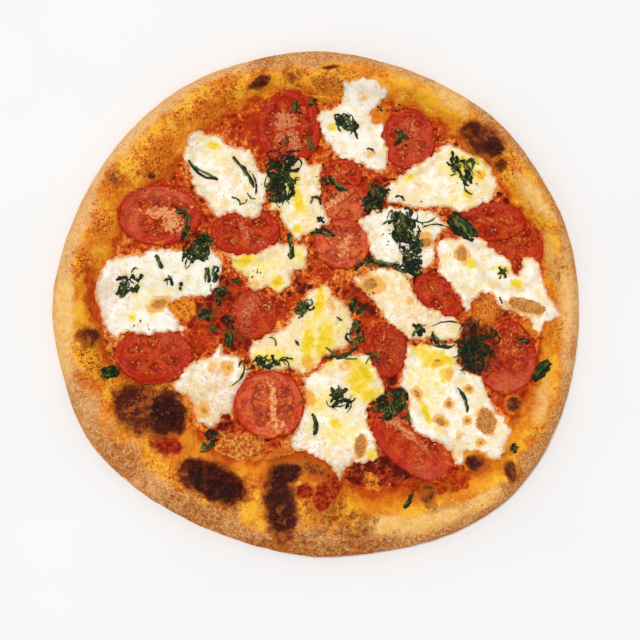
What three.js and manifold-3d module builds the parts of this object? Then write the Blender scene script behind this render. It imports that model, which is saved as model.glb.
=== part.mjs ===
// A baked margherita pizza: a puffed, blistered crust round a thin sauced base, with tomato slices,
// melted mozzarella and shredded basil laid on it in that order.
// Millimetres, +Z up. The origin is the middle of the flat underside.
import * as THREE from "three";
import { ImprovedNoise } from "three/addons/math/ImprovedNoise.js";
import Module from "manifold-3d";

// ---------------------------------------------------------------- driving dimensions, mm and degrees
const GAP = 0.3; // clearance kept between pieces that touch

// The crust, read round the pizza in equal steps, counter-clockwise from +X.
const RIM_RADIUS = [
  158.2, 157.6, 155.6, 155, 152.2, 151, 151.9, 151.2, 152.6, 152.6, 153, 154.6,
  158.2, 157.6, 159.2, 155, 150.6, 149.6, 151.9, 154, 160, 164.6, 163.2, 160,
];
const SAUCE_RADIUS = [
  140, 138, 134, 133, 132, 128, 126, 128, 125, 119, 124, 126,
  131, 129, 114, 106, 107, 96, 92, 116, 124, 137, 136, 138,
];
const BASE_THICK = 5; // baked dough under the sauce
const CREST_HEIGHT = 19; // top of the rim above the underside
const CREST_SWELL = 2; // how much the crest rises and falls round the pizza
const CREST_SWELL_SIZE = 38;
const CREST_LUMP = 1; // smaller lumps on top of the swell
const CREST_LUMP_SIZE = 13;
const BULGE_HEIGHT = 8; // where the rim is widest
const CREST_AT = 0.42; // crest, as a share of the way from the outer edge to the sauce
const SLOPE_END = 1.3; // where the inner slope meets the flat base, as such a share
const FOOT_INSET = 9; // from the widest point in to the edge of the flat underside
const FOOT_ROUND = [2.6, 2.8]; // one point of the rounded lower edge: inset and height
const RIM_SHARES = [1.3, 1.1, 0.93, 0.8, 0.67, 0.54, 0.42, 0.31, 0.2, 0.1, 0.03, 0];
const CRUST_STEPS = 90; // points round each ring of the crust

// Blisters and bubbles of the dough: x, y, half length, half width, turn, rise.
const BLISTERS = [
  [-97, -62, 25, 18, 5, 10],
  [-61, -106, 21, 11, -25, 6],
  [-8, -112, 25, 27, 0, 9],
  [24, -131, 11, 9, 0, 3.5],
  [69, -114, 12, 11, 0, 5],
  [96, -94, 9, 8, 0, 4],
  [115, -99, 7, 11, 0, 3],
  [119, -60, 8, 8, 0, 4.5],
  [102, -1, 8, 10, 0, 3.5],
  [104, 93, 14, 10, -35, 4],
  [7, 131, 12, 11, 0, 5.5],
  [-32, 132, 9, 5, 30, 2.5],
  [-122, 76, 8, 7, 0, 2.5],
  [-143, 20, 8, 10, 0, 2.5],
  [-136, -20, 9, 9, 0, 3],
  [-137, -42, 9, 7, 0, 2.5],
  [62, 130, 9, 8, 0, 2.5],
  [143, 50, 9, 9, 0, 2.5],
  [-86, 112, 10, 8, 30, 2],
  [132, -84, 9, 8, 0, 2.5],
];

// Sauce: a thin layer from the middle up the inner slope of the rim.
const SAUCE_THICK = 1.7;
const SAUCE_EDGE_THICK = 0.9;
const SAUCE_LUMP = 0.6;
const SAUCE_LUMP_SIZE = 24;
const SAUCE_OVER_BLISTER = 0.8; // share of a blister's rise that lifts the sauce on it
const SAUCE_STEPS = 45;
const SAUCE_RINGS = [1, 0.92, 0.78, 0.5];

// Tomato slices under the cheese: x, y, half length, half width, turn. The last one lies on top.
const SLICE_THICK = 3.4;
const SLICE_EDGE_THICK = 2.5;
const SLICE_DISH = 0.7; // how far the soft middle sinks
const SLICE_WOBBLE = 0.05; // unevenness of the outline, as a share of the size
const SLICE_WOBBLE_TURN = 0.7; // how quickly it changes round the slice
const SLICE_STEPS = 16;
const SLICE_RINGS = [1, 0.8];
const SLICES = [
  [-94, 53, 25, 18, 0],
  [-42, 43.5, 21, 15, 0],
  [-16, 106, 19.5, 22, 0],
  [56, 99, 16, 18.5, 0],
  [15, 77, 13, 10, 0],
  [17, 60, 16, 12, 0],
  [16, 36, 17, 15, 0],
  [117, 33, 19, 21, 0],
  [105, 49.5, 21, 12, 0],
  [74, 5, 17, 10, -35],
  [114, -32, 19, 22, 0],
  [58, -84, 29, 16, -40],
  [-97, -31, 24, 17, 0],
  [-37, -6, 14, 15, 0],
  [42, -28, 13, 17, 0],
];
const TOP_SLICE = [-28, -60.5, 21, 20.5, 0];

// Mozzarella: the outline of each melted patch, counter-clockwise or clockwise.
const CHEESE_THICK = 2.7;
const CHEESE_EDGE_THICK = 1.1;
const CHEESE_ROUND = 4; // how far in from the edge the patch reaches most of its thickness
const CHEESE_LUMP = 0.7;
const CHEESE_LUMP_SIZE = 11;
const CHEESE_WOBBLE = 0.9; // raggedness of the outlines
const CHEESE_WOBBLE_SIZE = 6;
const CHEESE_STEP = 7.6; // spacing of points along an outline
const CHEESE_PITCH = 12.5; // spacing of points inside
const CHEESE_INSET = 3.2; // the row of points that rounds the edge
const CHEESE_MIDDLE = 6.7; // points inside keep this far from the outline
const CHEESE_JITTER = 1.5; // and are moved about this far
const PATCHES = [
  [[-76, 102], [-64, 103], [-50, 95], [-38, 91], [-27, 76], [-30, 62], [-37, 52], [-59, 53],
    [-73, 70], [-80, 90]],
  [[17, 133], [34, 134], [43, 127], [34, 115], [40, 106], [43, 88], [38, 79], [21, 87], [9, 94],
    [1, 112], [13, 119], [16, 126]],
  [[-17, 87], [-4, 84], [3, 82], [3, 63], [9, 50], [-1, 44], [-11, 38], [-21, 51], [-27, 57],
    [-21, 70]],
  [[80, 96], [69, 89], [49, 77], [43, 69], [47, 62], [62, 59], [84, 56], [103, 61], [109, 72],
    [101, 86], [90, 92]],
  [[26, 49], [38, 56.5], [54, 57], [72, 53], [79, 46], [72, 37], [70, 25], [59, 15], [43, 23],
    [33, 30], [31, 42]],
  [[22, 14], [35, 21], [51, 18], [60, 5], [72, -4], [87, -10], [86, -20], [66, -21], [54, -17],
    [40, -7], [32, 4]],
  [[56, -27], [70, -23.5], [85, -23], [86, -36], [101, -47], [110, -63], [117, -77], [112, -89],
    [104, -95], [90, -92], [85, -96], [79, -86], [59, -75], [56, -58], [51, -44]],
  [[73, 33], [79, 39.5], [97, 39.5], [112, 30], [119, 18], [123, 25], [128, 28], [136, 18],
    [145, -6], [134, -19], [126, -9], [109, -2], [102, 7], [94, 3], [90, -4], [84, 8], [75, 16]],
  [[-131, 15], [-122, 27.5], [-104, 30], [-80, 32], [-66, 36], [-57, 27], [-60, 10], [-68, 4],
    [-87, 0], [-79, -14], [-104, -18], [-121, -19], [-130, -5]],
  [[-52, 30], [-38, 30], [-24, 36], [-8, 37], [-6, 23], [-15, 15], [-21, 7.5], [-34, 8],
    [-41, 15], [-49, 21]],
  [[0, 10], [8, 11], [20, -2], [22, -14], [18, -26], [4, -33], [-8, -41], [-30, -39.5],
    [-41, -28], [-28, -18], [-12, -7]],
  [[-6, -45], [6, -37], [24, -29.5], [33, -31], [41, -50], [33, -60], [33, -78], [37, -92],
    [24, -96], [14, -106], [6, -94], [-14, -85], [-8, -66]],
  [[-86, -49], [-76, -37], [-57, -25], [-47, -32], [-39, -41], [-47, -54], [-52, -67],
    [-63, -74], [-73, -66], [-77, -55]],
];

// Basil. A tuft is a tangle of shreds: x, y, half length, half width, turn, number of shreds.
const SHRED_THICK = 0.8;
const SHRED_WIDTH = 2.2;
const SHRED_CURL = 1.6; // how far the free end of a shred lifts
const SHRED_STATIONS = 4;
const SHRED_TAPER = 0.5; // how much narrower its ends are
const TUFT_CORE = 0.36; // the matted middle of a tuft, as a share of its size
const TUFT_CORE_THICK = 1.5;
const TUFT_CORE_SIDES = 6;
const TUFT_START = 0.15; // shreds start this near the middle, as a share of the tuft
const TUFT_REACH = [0.85, 1.1]; // and end this far out
const TUFT_BOW = 0.35;
const TUFT_WIDTHS = [0.75, 1.25]; // shares of the shred width
const TUFTS = [
  [-21, 77, 15, 10, 75, 7],
  [52, 47, 15, 13, 60, 7],
  [98, -25, 19, 14, 60, 8],
  [-70, 33, 13, 9, 50, 5],
  [-113, 12, 12, 8, 35, 5],
  [47, -60, 12, 9, 60, 6],
  [15, -57, 9, 8, 0, 5],
  [19, 108, 9, 6, -20, 5],
  [88, 76, 11, 7, 0, 5],
  [57, 24, 8, 7, 0, 4],
  [36, 64, 9, 7, 60, 4],
  [-31, -35, 13, 4, 10, 3],
  [-8, -3, 7, 4, 30, 3],
  [-123, -41, 7, 4, 0, 4],
  [-63, -82, 5, 4, 40, 3],
  [24, -19, 9, 5, 80, 4],
];
// Single shreds: from x, y to x, y, then the bow of the shred and its width.
const STRIPS = [
  [-16, 42, -15, 27, 1, 3.4],
  [-3, 42.5, 11, 41, 2, 3],
  [-76, 86, -59, 75, -3, 2],
  [-50, 88, -37, 70, 2, 1.8],
  [32, 28, 46, 24, -2, 2.4],
  [8, 77, 19, 68, -2, 2.4],
  [-2, -66, -1, -79, 2, 1.8],
  [85, -50, 91, -65, 2, 1.8],
  [70, -17, 82, -26, -4, 1.8],
  [-96, 29, -93, 21, 1, 2.6],
  [58, -112, 53, -122, 1, 2.4],
];
// Pieces of whole leaf: x, y, half length, half width, turn.
const LEAVES = [
  [135, -40, 8.5, 3.6, 45],
  [88, 46, 11, 4, -42],
];
const LEAF_THICK = 0.8;
const LEAF_WAVE = 0.8;
const LEAF_TIP = 0.15; // width of the tips, as a share of the middle
const LEAF_STATIONS = 6;

const DRAPE_REACH = 5; // how far a soft topping bridges out from an edge below it
const TUFT_REST_REACH = 3; // and how far a tuft's middle does
const SHRED_REST_REACH = 0.6; // and how far past its own edges a shred does
const LAYER_FLOOR = 3; // toppings start this deep inside the dough, then are cut free of it
const CUTTER_FLOOR = 2;

// ---------------------------------------------------------------- small helpers
const wasm = await Module();
wasm.setup();
const noise = new ImprovedNoise();
const { degToRad, lerp, clamp, seededRandom } = THREE.MathUtils;

// Smooth noise from about -1 to 1 with features of one size, different for each kind.
const ripple = (x, y, size, kind) => noise.noise(x / size + kind * 7.3, y / size, kind * 3.1);

// A value read round the pizza, from samples at equal steps joined by a smooth closed curve.
function around(samples, angle) {
  const count = samples.length;
  const turn = angle / (2 * Math.PI);
  const place = (turn - Math.floor(turn)) * count;
  const first = Math.floor(place);
  const t = place - first;
  const [a, b, c, d] = [-1, 0, 1, 2].map((step) => samples[(first + step + count) % count]);
  return b + 0.5 * t * (c - a + t * (2 * a - 5 * b + 4 * c - d + t * (3 * (b - c) + d - a)));
}

// Place in an oval's own measure: the distance from its middle, 1 on the edge.
function ovalShare(x, y, [cx, cy, along, across, turn]) {
  const angle = degToRad(turn);
  const u = (x - cx) * Math.cos(angle) + (y - cy) * Math.sin(angle);
  const v = (y - cy) * Math.cos(angle) - (x - cx) * Math.sin(angle);
  return Math.hypot(u / along, v / across);
}

function ovalPoint([cx, cy, along, across, turn], share, angle) {
  const u = along * share * Math.cos(angle);
  const v = across * share * Math.sin(angle);
  const tilt = degToRad(turn);
  return [
    cx + u * Math.cos(tilt) - v * Math.sin(tilt),
    cy + u * Math.sin(tilt) + v * Math.cos(tilt),
  ];
}

// A closed solid from corner places and faces.
function solidOf(corners, faces) {
  const vertProperties = new Float32Array(corners.flat());
  const triVerts = new Uint32Array(faces.flat());
  return new wasm.Manifold(new wasm.Mesh({ numProp: 3, vertProperties, triVerts }));
}

// Faces between two closed rows of points, each `count` long, outside facing away from the axis.
function band(lower, upper, count) {
  const faces = [];
  for (let i = 0; i < count; i++) {
    const next = (i + 1) % count;
    faces.push([lower + i, lower + next, upper + next]);
    faces.push([lower + i, upper + next, upper + i]);
  }
  return faces;
}

// Faces of a round sheet: rings of points from the outline in, then the middle point.
function fan(count, rings) {
  const faces = [];
  for (let ring = 0; ring < rings - 1; ring++) {
    faces.push(...band(ring * count, (ring + 1) * count, count));
  }
  const last = (rings - 1) * count;
  for (let i = 0; i < count; i++) {
    faces.push([last + i, last + ((i + 1) % count), rings * count]);
  }
  return faces;
}

// A layer: a top sheet of points with heights, walls down from its outline, and a flat floor.
function slab(points, faces, outline, heights, floor) {
  const count = points.length;
  const corners = points.map(([x, y], i) => [x, y, heights[i]]);
  points.slice(0, outline).forEach(([x, y]) => corners.push([x, y, floor]));
  const underside = THREE.ShapeUtils.triangulateShape(
    points.slice(0, outline).map(([x, y]) => new THREE.Vector2(x, y)),
    [],
  );
  const walls = band(count, 0, outline);
  const bottom = underside.map(([a, b, c]) => [count + a, count + c, count + b]);
  return solidOf(corners, [...faces, ...walls, ...bottom]);
}

// The outline points moved outwards by a distance; the points inside stay.
function grown(points, outline, distance) {
  return points.map((point, i) => {
    if (i >= outline) return point;
    const [ax, ay] = points[(i + outline - 1) % outline];
    const [bx, by] = points[(i + 1) % outline];
    const length = Math.hypot(bx - ax, by - ay);
    return [
      point[0] + ((by - ay) / length) * distance,
      point[1] - ((bx - ax) / length) * distance,
    ];
  });
}

// ---------------------------------------------------------------- what already lies on the pizza
const laid = []; // each piece with its top faces and the solid that cuts later pieces free of it

function lay(corners, faces, cutter) {
  const tops = faces.map((face) => face.map((i) => corners[i]));
  const box = new THREE.Box2();
  corners.forEach(([x, y]) => box.expandByPoint(new THREE.Vector2(x, y)));
  laid.push({ tops, box, cutter });
}

// Height of one face over a place, or undefined where the face doesn't cover it.
function faceHeight([a, b, c], x, y) {
  const whole = (b[0] - a[0]) * (c[1] - a[1]) - (c[0] - a[0]) * (b[1] - a[1]);
  const u = ((b[0] - x) * (c[1] - y) - (c[0] - x) * (b[1] - y)) / whole;
  const v = ((c[0] - x) * (a[1] - y) - (a[0] - x) * (c[1] - y)) / whole;
  if (u < 0 || v < 0 || u + v > 1) return undefined;
  return u * a[2] + v * b[2] + (1 - u - v) * c[2];
}

function heightAt(x, y, pieces = laid) {
  const place = new THREE.Vector2(x, y);
  let height = 0;
  for (const { tops, box } of pieces) {
    if (!box.containsPoint(place)) continue;
    for (const face of tops) {
      const found = faceHeight(face, x, y);
      if (found > height) height = found;
    }
  }
  return height;
}

// What a soft piece laid at a place comes to rest on: the sauced dough there, and as much higher
// as the highest topping within reach stands above its own ground.
function restHeight(x, y, reach) {
  const ground = laid.slice(0, 2);
  const standing = (px, py) => heightAt(px, py) - heightAt(px, py, ground);
  let rise = standing(x, y);
  for (let step = 0; step < 8; step++) {
    const angle = (step * Math.PI) / 4;
    rise = Math.max(rise, standing(x + reach * Math.cos(angle), y + reach * Math.sin(angle)));
  }
  return heightAt(x, y, ground) + rise;
}

// Cuts a solid free of everything already laid, and keeps its one body.
function cutFree(solid) {
  const cut = laid.reduce((rest, { cutter }) => rest.subtract(cutter), solid);
  const bodies = cut.decompose();
  return bodies.reduce((best, body) => (body.volume() > best.volume() ? body : best));
}

// Lays a slab with this top sheet, and remembers its grown copy for the pieces that come after.
function laySlab(points, faces, outline, heights) {
  const solid = cutFree(slab(points, faces, outline, heights, LAYER_FLOOR));
  const wide = grown(points, outline, GAP);
  const high = heights.map((height) => height + GAP);
  const cutter = slab(wide, faces, outline, high, CUTTER_FLOOR);
  lay(wide.map(([x, y], i) => [x, y, high[i]]), faces, cutter);
  return solid;
}

// ---------------------------------------------------------------- materials and the group
const finishes = {
  crust: new THREE.MeshStandardMaterial({ color: 0xe0a662, roughness: 0.75, metalness: 0 }),
  sauce: new THREE.MeshStandardMaterial({ color: 0xa83412, roughness: 0.4, metalness: 0 }),
  tomato: new THREE.MeshStandardMaterial({ color: 0xc64a2a, roughness: 0.3, metalness: 0 }),
  cheese: new THREE.MeshStandardMaterial({ color: 0xf5ecd8, roughness: 0.4, metalness: 0 }),
  basil: new THREE.MeshStandardMaterial({ color: 0x2f4a24, roughness: 0.55, metalness: 0 }),
};
const pizza = new THREE.Group();

function addPiece(name, solid, finish) {
  const mesh = solid.getMesh();
  const places = new Float32Array(mesh.numVert * 3);
  for (let i = 0; i < mesh.numVert; i++) {
    places.set(mesh.vertProperties.subarray(i * mesh.numProp, i * mesh.numProp + 3), i * 3);
  }
  const geometry = new THREE.BufferGeometry();
  geometry.setAttribute("position", new THREE.BufferAttribute(places, 3));
  geometry.setIndex(new THREE.BufferAttribute(mesh.triVerts, 1));
  geometry.computeVertexNormals();
  const piece = new THREE.Mesh(geometry, finishes[finish]);
  piece.name = name;
  pizza.add(piece);
}

const numbered = (name, index) => name + "_" + String(index + 1).padStart(2, "0");

// ---------------------------------------------------------------- crust
function blisterRise(x, y) {
  const rises = BLISTERS.map((blister) => {
    const share = ovalShare(x, y, blister);
    return share < 1 ? blister[5] * (1 - share * share) : 0;
  });
  return Math.max(...rises);
}

// Height of the dough, from the share of the way across the rim: a rounded outside, then a slope.
function rimHeight(share, x, y) {
  const crest = CREST_HEIGHT + CREST_SWELL * ripple(x, y, CREST_SWELL_SIZE, 1)
    + CREST_LUMP * ripple(x, y, CREST_LUMP_SIZE, 2);
  if (share < CREST_AT) {
    const out = (CREST_AT - share) / CREST_AT;
    return BULGE_HEIGHT + (crest - BULGE_HEIGHT) * Math.sqrt(Math.max(0, 1 - out * out));
  }
  const down = clamp((share - CREST_AT) / (SLOPE_END - CREST_AT), 0, 1);
  return BASE_THICK + (crest - BASE_THICK) * (0.5 + 0.5 * Math.cos(Math.PI * down));
}

function doughHeight(x, y) {
  const angle = Math.atan2(y, x);
  const outer = around(RIM_RADIUS, angle);
  const share = (outer - Math.hypot(x, y)) / (outer - around(SAUCE_RADIUS, angle));
  return rimHeight(Math.max(share, 0), x, y);
}

function crust() {
  const corners = [];
  const ring = (place) => {
    for (let i = 0; i < CRUST_STEPS; i++) {
      const angle = (i / CRUST_STEPS) * 2 * Math.PI;
      const outer = around(RIM_RADIUS, angle);
      const [radius, height] = place(outer, outer - around(SAUCE_RADIUS, angle), angle);
      corners.push([radius * Math.cos(angle), radius * Math.sin(angle), height]);
    }
  };
  ring((outer) => [outer - FOOT_INSET, 0]);
  ring((outer) => [outer - FOOT_ROUND[0], FOOT_ROUND[1]]);
  [...RIM_SHARES].reverse().forEach((share) => {
    ring((outer, width, angle) => {
      const radius = outer - share * width;
      const [x, y] = [radius * Math.cos(angle), radius * Math.sin(angle)];
      const blistered = share > 0 && share < SLOPE_END ? blisterRise(x, y) : 0;
      return [radius, rimHeight(share, x, y) + blistered];
    });
  });
  const rings = corners.length / CRUST_STEPS;
  const topFaces = fan(CRUST_STEPS, rings);
  corners.push([0, 0, BASE_THICK]);
  const underMiddle = corners.length;
  corners.push([0, 0, 0]);
  const underside = [];
  for (let i = 0; i < CRUST_STEPS; i++) {
    underside.push([(i + 1) % CRUST_STEPS, i, underMiddle]);
  }
  const faces = [...topFaces, ...underside];
  const lifted = corners.map(([x, y, z]) => [x, y, z + GAP]);
  lay(lifted, topFaces, solidOf(lifted, faces));
  addPiece("crust", solidOf(corners, faces), "crust");
}

// ---------------------------------------------------------------- sauce
function sauce() {
  const points = [];
  const heights = [];
  SAUCE_RINGS.forEach((share, ring) => {
    for (let i = 0; i < SAUCE_STEPS; i++) {
      const angle = (i / SAUCE_STEPS) * 2 * Math.PI;
      const radius = share * around(SAUCE_RADIUS, angle);
      const [x, y] = [radius * Math.cos(angle), radius * Math.sin(angle)];
      const lump = SAUCE_LUMP * ripple(x, y, SAUCE_LUMP_SIZE, 3);
      const thick = ring === 0 ? SAUCE_EDGE_THICK : SAUCE_THICK + lump;
      points.push([x, y]);
      heights.push(doughHeight(x, y) + SAUCE_OVER_BLISTER * blisterRise(x, y) + thick);
    }
  });
  points.push([0, 0]);
  heights.push(BASE_THICK + SAUCE_THICK);
  const faces = fan(SAUCE_STEPS, SAUCE_RINGS.length);
  addPiece("sauce", laySlab(points, faces, SAUCE_STEPS, heights), "sauce");
}

// ---------------------------------------------------------------- tomato slices
function tomatoSlice(oval, name, kind) {
  const points = [];
  const heights = [];
  SLICE_RINGS.forEach((share, ring) => {
    for (let i = 0; i < SLICE_STEPS; i++) {
      const angle = (i / SLICE_STEPS) * 2 * Math.PI;
      const wobble = ripple(Math.cos(angle), Math.sin(angle), SLICE_WOBBLE_TURN, kind);
      const uneven = 1 + SLICE_WOBBLE * wobble;
      const [x, y] = ovalPoint(oval, share * uneven, angle);
      const thick = ring === 0 ? SLICE_EDGE_THICK : SLICE_THICK;
      points.push([x, y]);
      heights.push(restHeight(x, y, DRAPE_REACH) + thick);
    }
  });
  points.push([oval[0], oval[1]]);
  heights.push(restHeight(oval[0], oval[1], DRAPE_REACH) + SLICE_THICK - SLICE_DISH);
  const faces = fan(SLICE_STEPS, SLICE_RINGS.length);
  addPiece(name, laySlab(points, faces, SLICE_STEPS, heights), "tomato");
}

// ---------------------------------------------------------------- mozzarella
// Delaunay faces of a list of points, counter-clockwise, each point added in turn.
function delaunay(points) {
  const far = 1e4;
  const count = points.length;
  const all = [...points, [-far, -far], [far, -far], [0, far]];
  const holds = ([a, b, c], [x, y]) => {
    const [m, n, o] = [a, b, c].map((i) => [all[i][0] - x, all[i][1] - y]);
    const [mm, nn, oo] = [m, n, o].map(([u, v]) => u * u + v * v);
    return m[0] * (n[1] * oo - nn * o[1]) - m[1] * (n[0] * oo - nn * o[0])
      + mm * (n[0] * o[1] - n[1] * o[0]) > 0;
  };
  let faces = [[count, count + 1, count + 2]];
  points.forEach((point, i) => {
    const broken = faces.filter((face) => holds(face, point));
    const edges = broken.flatMap(([a, b, c]) => [[a, b], [b, c], [c, a]]);
    const border = edges.filter(([a, b]) => !edges.some(([c, d]) => c === b && d === a));
    faces = faces.filter((face) => !broken.includes(face));
    faces.push(...border.map(([a, b]) => [a, b, i]));
  });
  return faces.filter((face) => face.every((i) => i < count));
}

function inside(outline, x, y) {
  let within = false;
  outline.forEach(([ax, ay], i) => {
    const [bx, by] = outline[(i + 1) % outline.length];
    if (ay > y !== by > y && x < ax + ((y - ay) / (by - ay)) * (bx - ax)) within = !within;
  });
  return within;
}

function edgeDistance(outline, x, y) {
  const distances = outline.map(([ax, ay], i) => {
    const [bx, by] = outline[(i + 1) % outline.length];
    const [dx, dy] = [bx - ax, by - ay];
    const t = clamp(((x - ax) * dx + (y - ay) * dy) / (dx * dx + dy * dy), 0, 1);
    return Math.hypot(x - ax - t * dx, y - ay - t * dy);
  });
  return Math.min(...distances);
}

// The ragged outline of a patch: a closed curve through its points, with a small wobble.
function patchOutline(patch, kind) {
  const turned = THREE.ShapeUtils.area(patch.map(([x, y]) => new THREE.Vector2(x, y))) < 0;
  const ordered = turned ? [...patch].reverse() : patch;
  const curve = new THREE.CatmullRomCurve3(ordered.map(([x, y]) => new THREE.Vector3(x, y, 0)), true);
  const count = Math.round(curve.getLength() / CHEESE_STEP);
  return curve.getSpacedPoints(count).slice(0, count).map(({ x, y }) => [
    x + CHEESE_WOBBLE * ripple(x, y, CHEESE_WOBBLE_SIZE, kind),
    y + CHEESE_WOBBLE * ripple(x, y, CHEESE_WOBBLE_SIZE, kind + 1),
  ]);
}

function cheesePatch(patch, index) {
  const outline = patchOutline(patch, index + 20);
  const points = [...outline];
  const keep = (x, y, distance) => {
    if (inside(outline, x, y) && edgeDistance(outline, x, y) > distance) points.push([x, y]);
  };
  outline.forEach(([ax, ay], i) => {
    const [bx, by] = outline[(i + 1) % outline.length];
    const length = Math.hypot(bx - ax, by - ay);
    const [nx, ny] = [-(by - ay) / length, (bx - ax) / length];
    keep((ax + bx) / 2 + nx * CHEESE_INSET, (ay + by) / 2 + ny * CHEESE_INSET, 0.8 * CHEESE_INSET);
  });
  const box = new THREE.Box2().setFromPoints(outline.map(([x, y]) => new THREE.Vector2(x, y)));
  const rowStep = CHEESE_PITCH * Math.sqrt(0.75);
  for (let row = 0; box.min.y + row * rowStep < box.max.y; row++) {
    for (let x = box.min.x + (row % 2) * 0.5 * CHEESE_PITCH; x < box.max.x; x += CHEESE_PITCH) {
      const y = box.min.y + row * rowStep;
      const [jx, jy] = [4, 5].map((kind) => CHEESE_JITTER * ripple(x, y, CHEESE_JITTER, kind));
      keep(x + jx, y + jy, CHEESE_MIDDLE);
    }
  }
  const faces = delaunay(points).filter((face) => {
    const [x, y] = [0, 1].map((axis) => face.reduce((sum, i) => sum + points[i][axis] / 3, 0));
    return inside(outline, x, y);
  });
  const heights = points.map(([x, y], i) => {
    const distance = i < outline.length ? 0 : edgeDistance(outline, x, y);
    const full = CHEESE_THICK + CHEESE_LUMP * ripple(x, y, CHEESE_LUMP_SIZE, 6);
    const thick = lerp(CHEESE_EDGE_THICK, full, 1 - Math.exp(-distance / CHEESE_ROUND));
    return restHeight(x, y, DRAPE_REACH) + thick;
  });
  addPiece(numbered("mozzarella", index), laySlab(points, faces, outline.length, heights), "cheese");
}

// ---------------------------------------------------------------- basil
// A thin sheet along a bowed line, both faces split alike. Widths and lifts are read along it.
function sheet(from, to, bow, stations, widthAt, liftAt, thick) {
  const [dx, dy] = [to[0] - from[0], to[1] - from[1]];
  const length = Math.hypot(dx, dy);
  const corners = [];
  for (let i = 0; i < stations; i++) {
    const t = i / (stations - 1);
    const side = bow * 4 * t * (1 - t);
    const [x, y] = [from[0] + dx * t - (dy / length) * side, from[1] + dy * t + (dx / length) * side];
    const slope = (bow * 4 * (1 - 2 * t)) / length;
    const across = [-(dy + dx * slope), dx - dy * slope];
    const half = widthAt(t) / 2 / Math.hypot(...across);
    const base = restHeight(x, y, widthAt(t) / 2 + SHRED_REST_REACH) + liftAt(t);
    [[1, 0], [-1, 0], [-1, thick], [1, thick]].forEach(([edge, up]) => {
      corners.push([x + across[0] * half * edge, y + across[1] * half * edge, base + up]);
    });
  }
  const faces = [[0, 1, 2], [0, 2, 3]];
  for (let i = 0; i < stations - 1; i++) {
    faces.push(...band(4 * i, 4 * (i + 1), 4).map(([a, b, c]) => [a, c, b]));
  }
  const end = 4 * (stations - 1);
  faces.push([end, end + 2, end + 1], [end, end + 3, end + 2]);
  return solidOf(corners, faces);
}

function shred(from, to, bow, width) {
  const widthAt = (t) => width * (1 - SHRED_TAPER * (2 * t - 1) ** 4);
  return sheet(from, to, bow, SHRED_STATIONS, widthAt, (t) => SHRED_CURL * t * t, SHRED_THICK);
}

// A tangle: shreds that run out from a matted middle.
function tuft(oval, index) {
  const [cx, cy, along, , , count] = oval;
  const points = [];
  for (let i = 0; i < TUFT_CORE_SIDES; i++) {
    points.push(ovalPoint(oval, TUFT_CORE, (i / TUFT_CORE_SIDES) * 2 * Math.PI));
  }
  points.push([cx, cy]);
  const heights = points.map(([x, y]) => restHeight(x, y, TUFT_REST_REACH) + TUFT_CORE_THICK);
  const core = slab(points, fan(TUFT_CORE_SIDES, 1), TUFT_CORE_SIDES, heights, LAYER_FLOOR);
  seededRandom(100 + index);
  const whole = Array.from({ length: count }).reduce((solid, _, i) => {
    const angle = ((i + 0.5 * seededRandom()) / count) * 2 * Math.PI;
    const start = ovalPoint(oval, TUFT_START * seededRandom(), angle + Math.PI);
    const finish = ovalPoint(oval, lerp(...TUFT_REACH, seededRandom()), angle);
    const bow = along * TUFT_BOW * (seededRandom() - 0.5);
    const width = SHRED_WIDTH * lerp(...TUFT_WIDTHS, seededRandom());
    return solid.add(shred(start, finish, bow, width));
  }, core);
  addPiece(numbered("basil_tuft", index), cutFree(whole), "basil");
}

function strip([ax, ay, bx, by, bow, width], index) {
  addPiece(numbered("basil_strip", index), cutFree(shred([ax, ay], [bx, by], bow, width)), "basil");
}

function leaf([cx, cy, along, across, turn], index) {
  const angle = degToRad(turn);
  const [dx, dy] = [along * Math.cos(angle), along * Math.sin(angle)];
  const widthAt = (t) => 2 * across * lerp(LEAF_TIP, 1, Math.sin(Math.PI * t));
  const liftAt = (t) => LEAF_WAVE * (1 - Math.cos(3 * Math.PI * t));
  const blade = sheet([cx - dx, cy - dy], [cx + dx, cy + dy], 1, LEAF_STATIONS, widthAt, liftAt,
    LEAF_THICK);
  addPiece(numbered("basil_leaf", index), cutFree(blade), "basil");
}

// ---------------------------------------------------------------- the pizza, from the bottom up
crust();
sauce();
SLICES.forEach((oval, index) => tomatoSlice(oval, numbered("tomato_slice", index), index + 40));
PATCHES.forEach(cheesePatch);
tomatoSlice(TOP_SLICE, numbered("tomato_slice", SLICES.length), SLICES.length + 40);
TUFTS.forEach(tuft);
STRIPS.forEach(strip);
LEAVES.forEach(leaf);

export default pizza;
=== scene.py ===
# %% [markdown]
# # A margherita pizza
# A thin base with a puffed and blistered rim, tomato sauce, slices of tomato, melted mozzarella and
# shredded basil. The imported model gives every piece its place. Each piece is built here again, finer,
# as a surface of heights: what lies on a pizza lies flat, so one height for each place is enough.

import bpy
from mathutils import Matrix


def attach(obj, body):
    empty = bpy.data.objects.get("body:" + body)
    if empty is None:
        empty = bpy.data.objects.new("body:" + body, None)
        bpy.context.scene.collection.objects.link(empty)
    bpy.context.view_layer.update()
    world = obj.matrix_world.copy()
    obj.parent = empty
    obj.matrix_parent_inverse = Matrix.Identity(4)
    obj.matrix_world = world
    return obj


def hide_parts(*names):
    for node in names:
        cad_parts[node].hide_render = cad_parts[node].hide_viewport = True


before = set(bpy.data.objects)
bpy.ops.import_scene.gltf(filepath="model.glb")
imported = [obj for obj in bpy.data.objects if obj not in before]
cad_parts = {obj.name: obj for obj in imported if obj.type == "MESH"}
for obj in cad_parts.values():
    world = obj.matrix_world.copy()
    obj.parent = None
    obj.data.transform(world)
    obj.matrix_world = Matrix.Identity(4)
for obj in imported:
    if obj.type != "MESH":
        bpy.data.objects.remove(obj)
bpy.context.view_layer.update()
print("packed nodes:", len(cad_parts))

# %% Libraries and units
from types import SimpleNamespace

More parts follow.
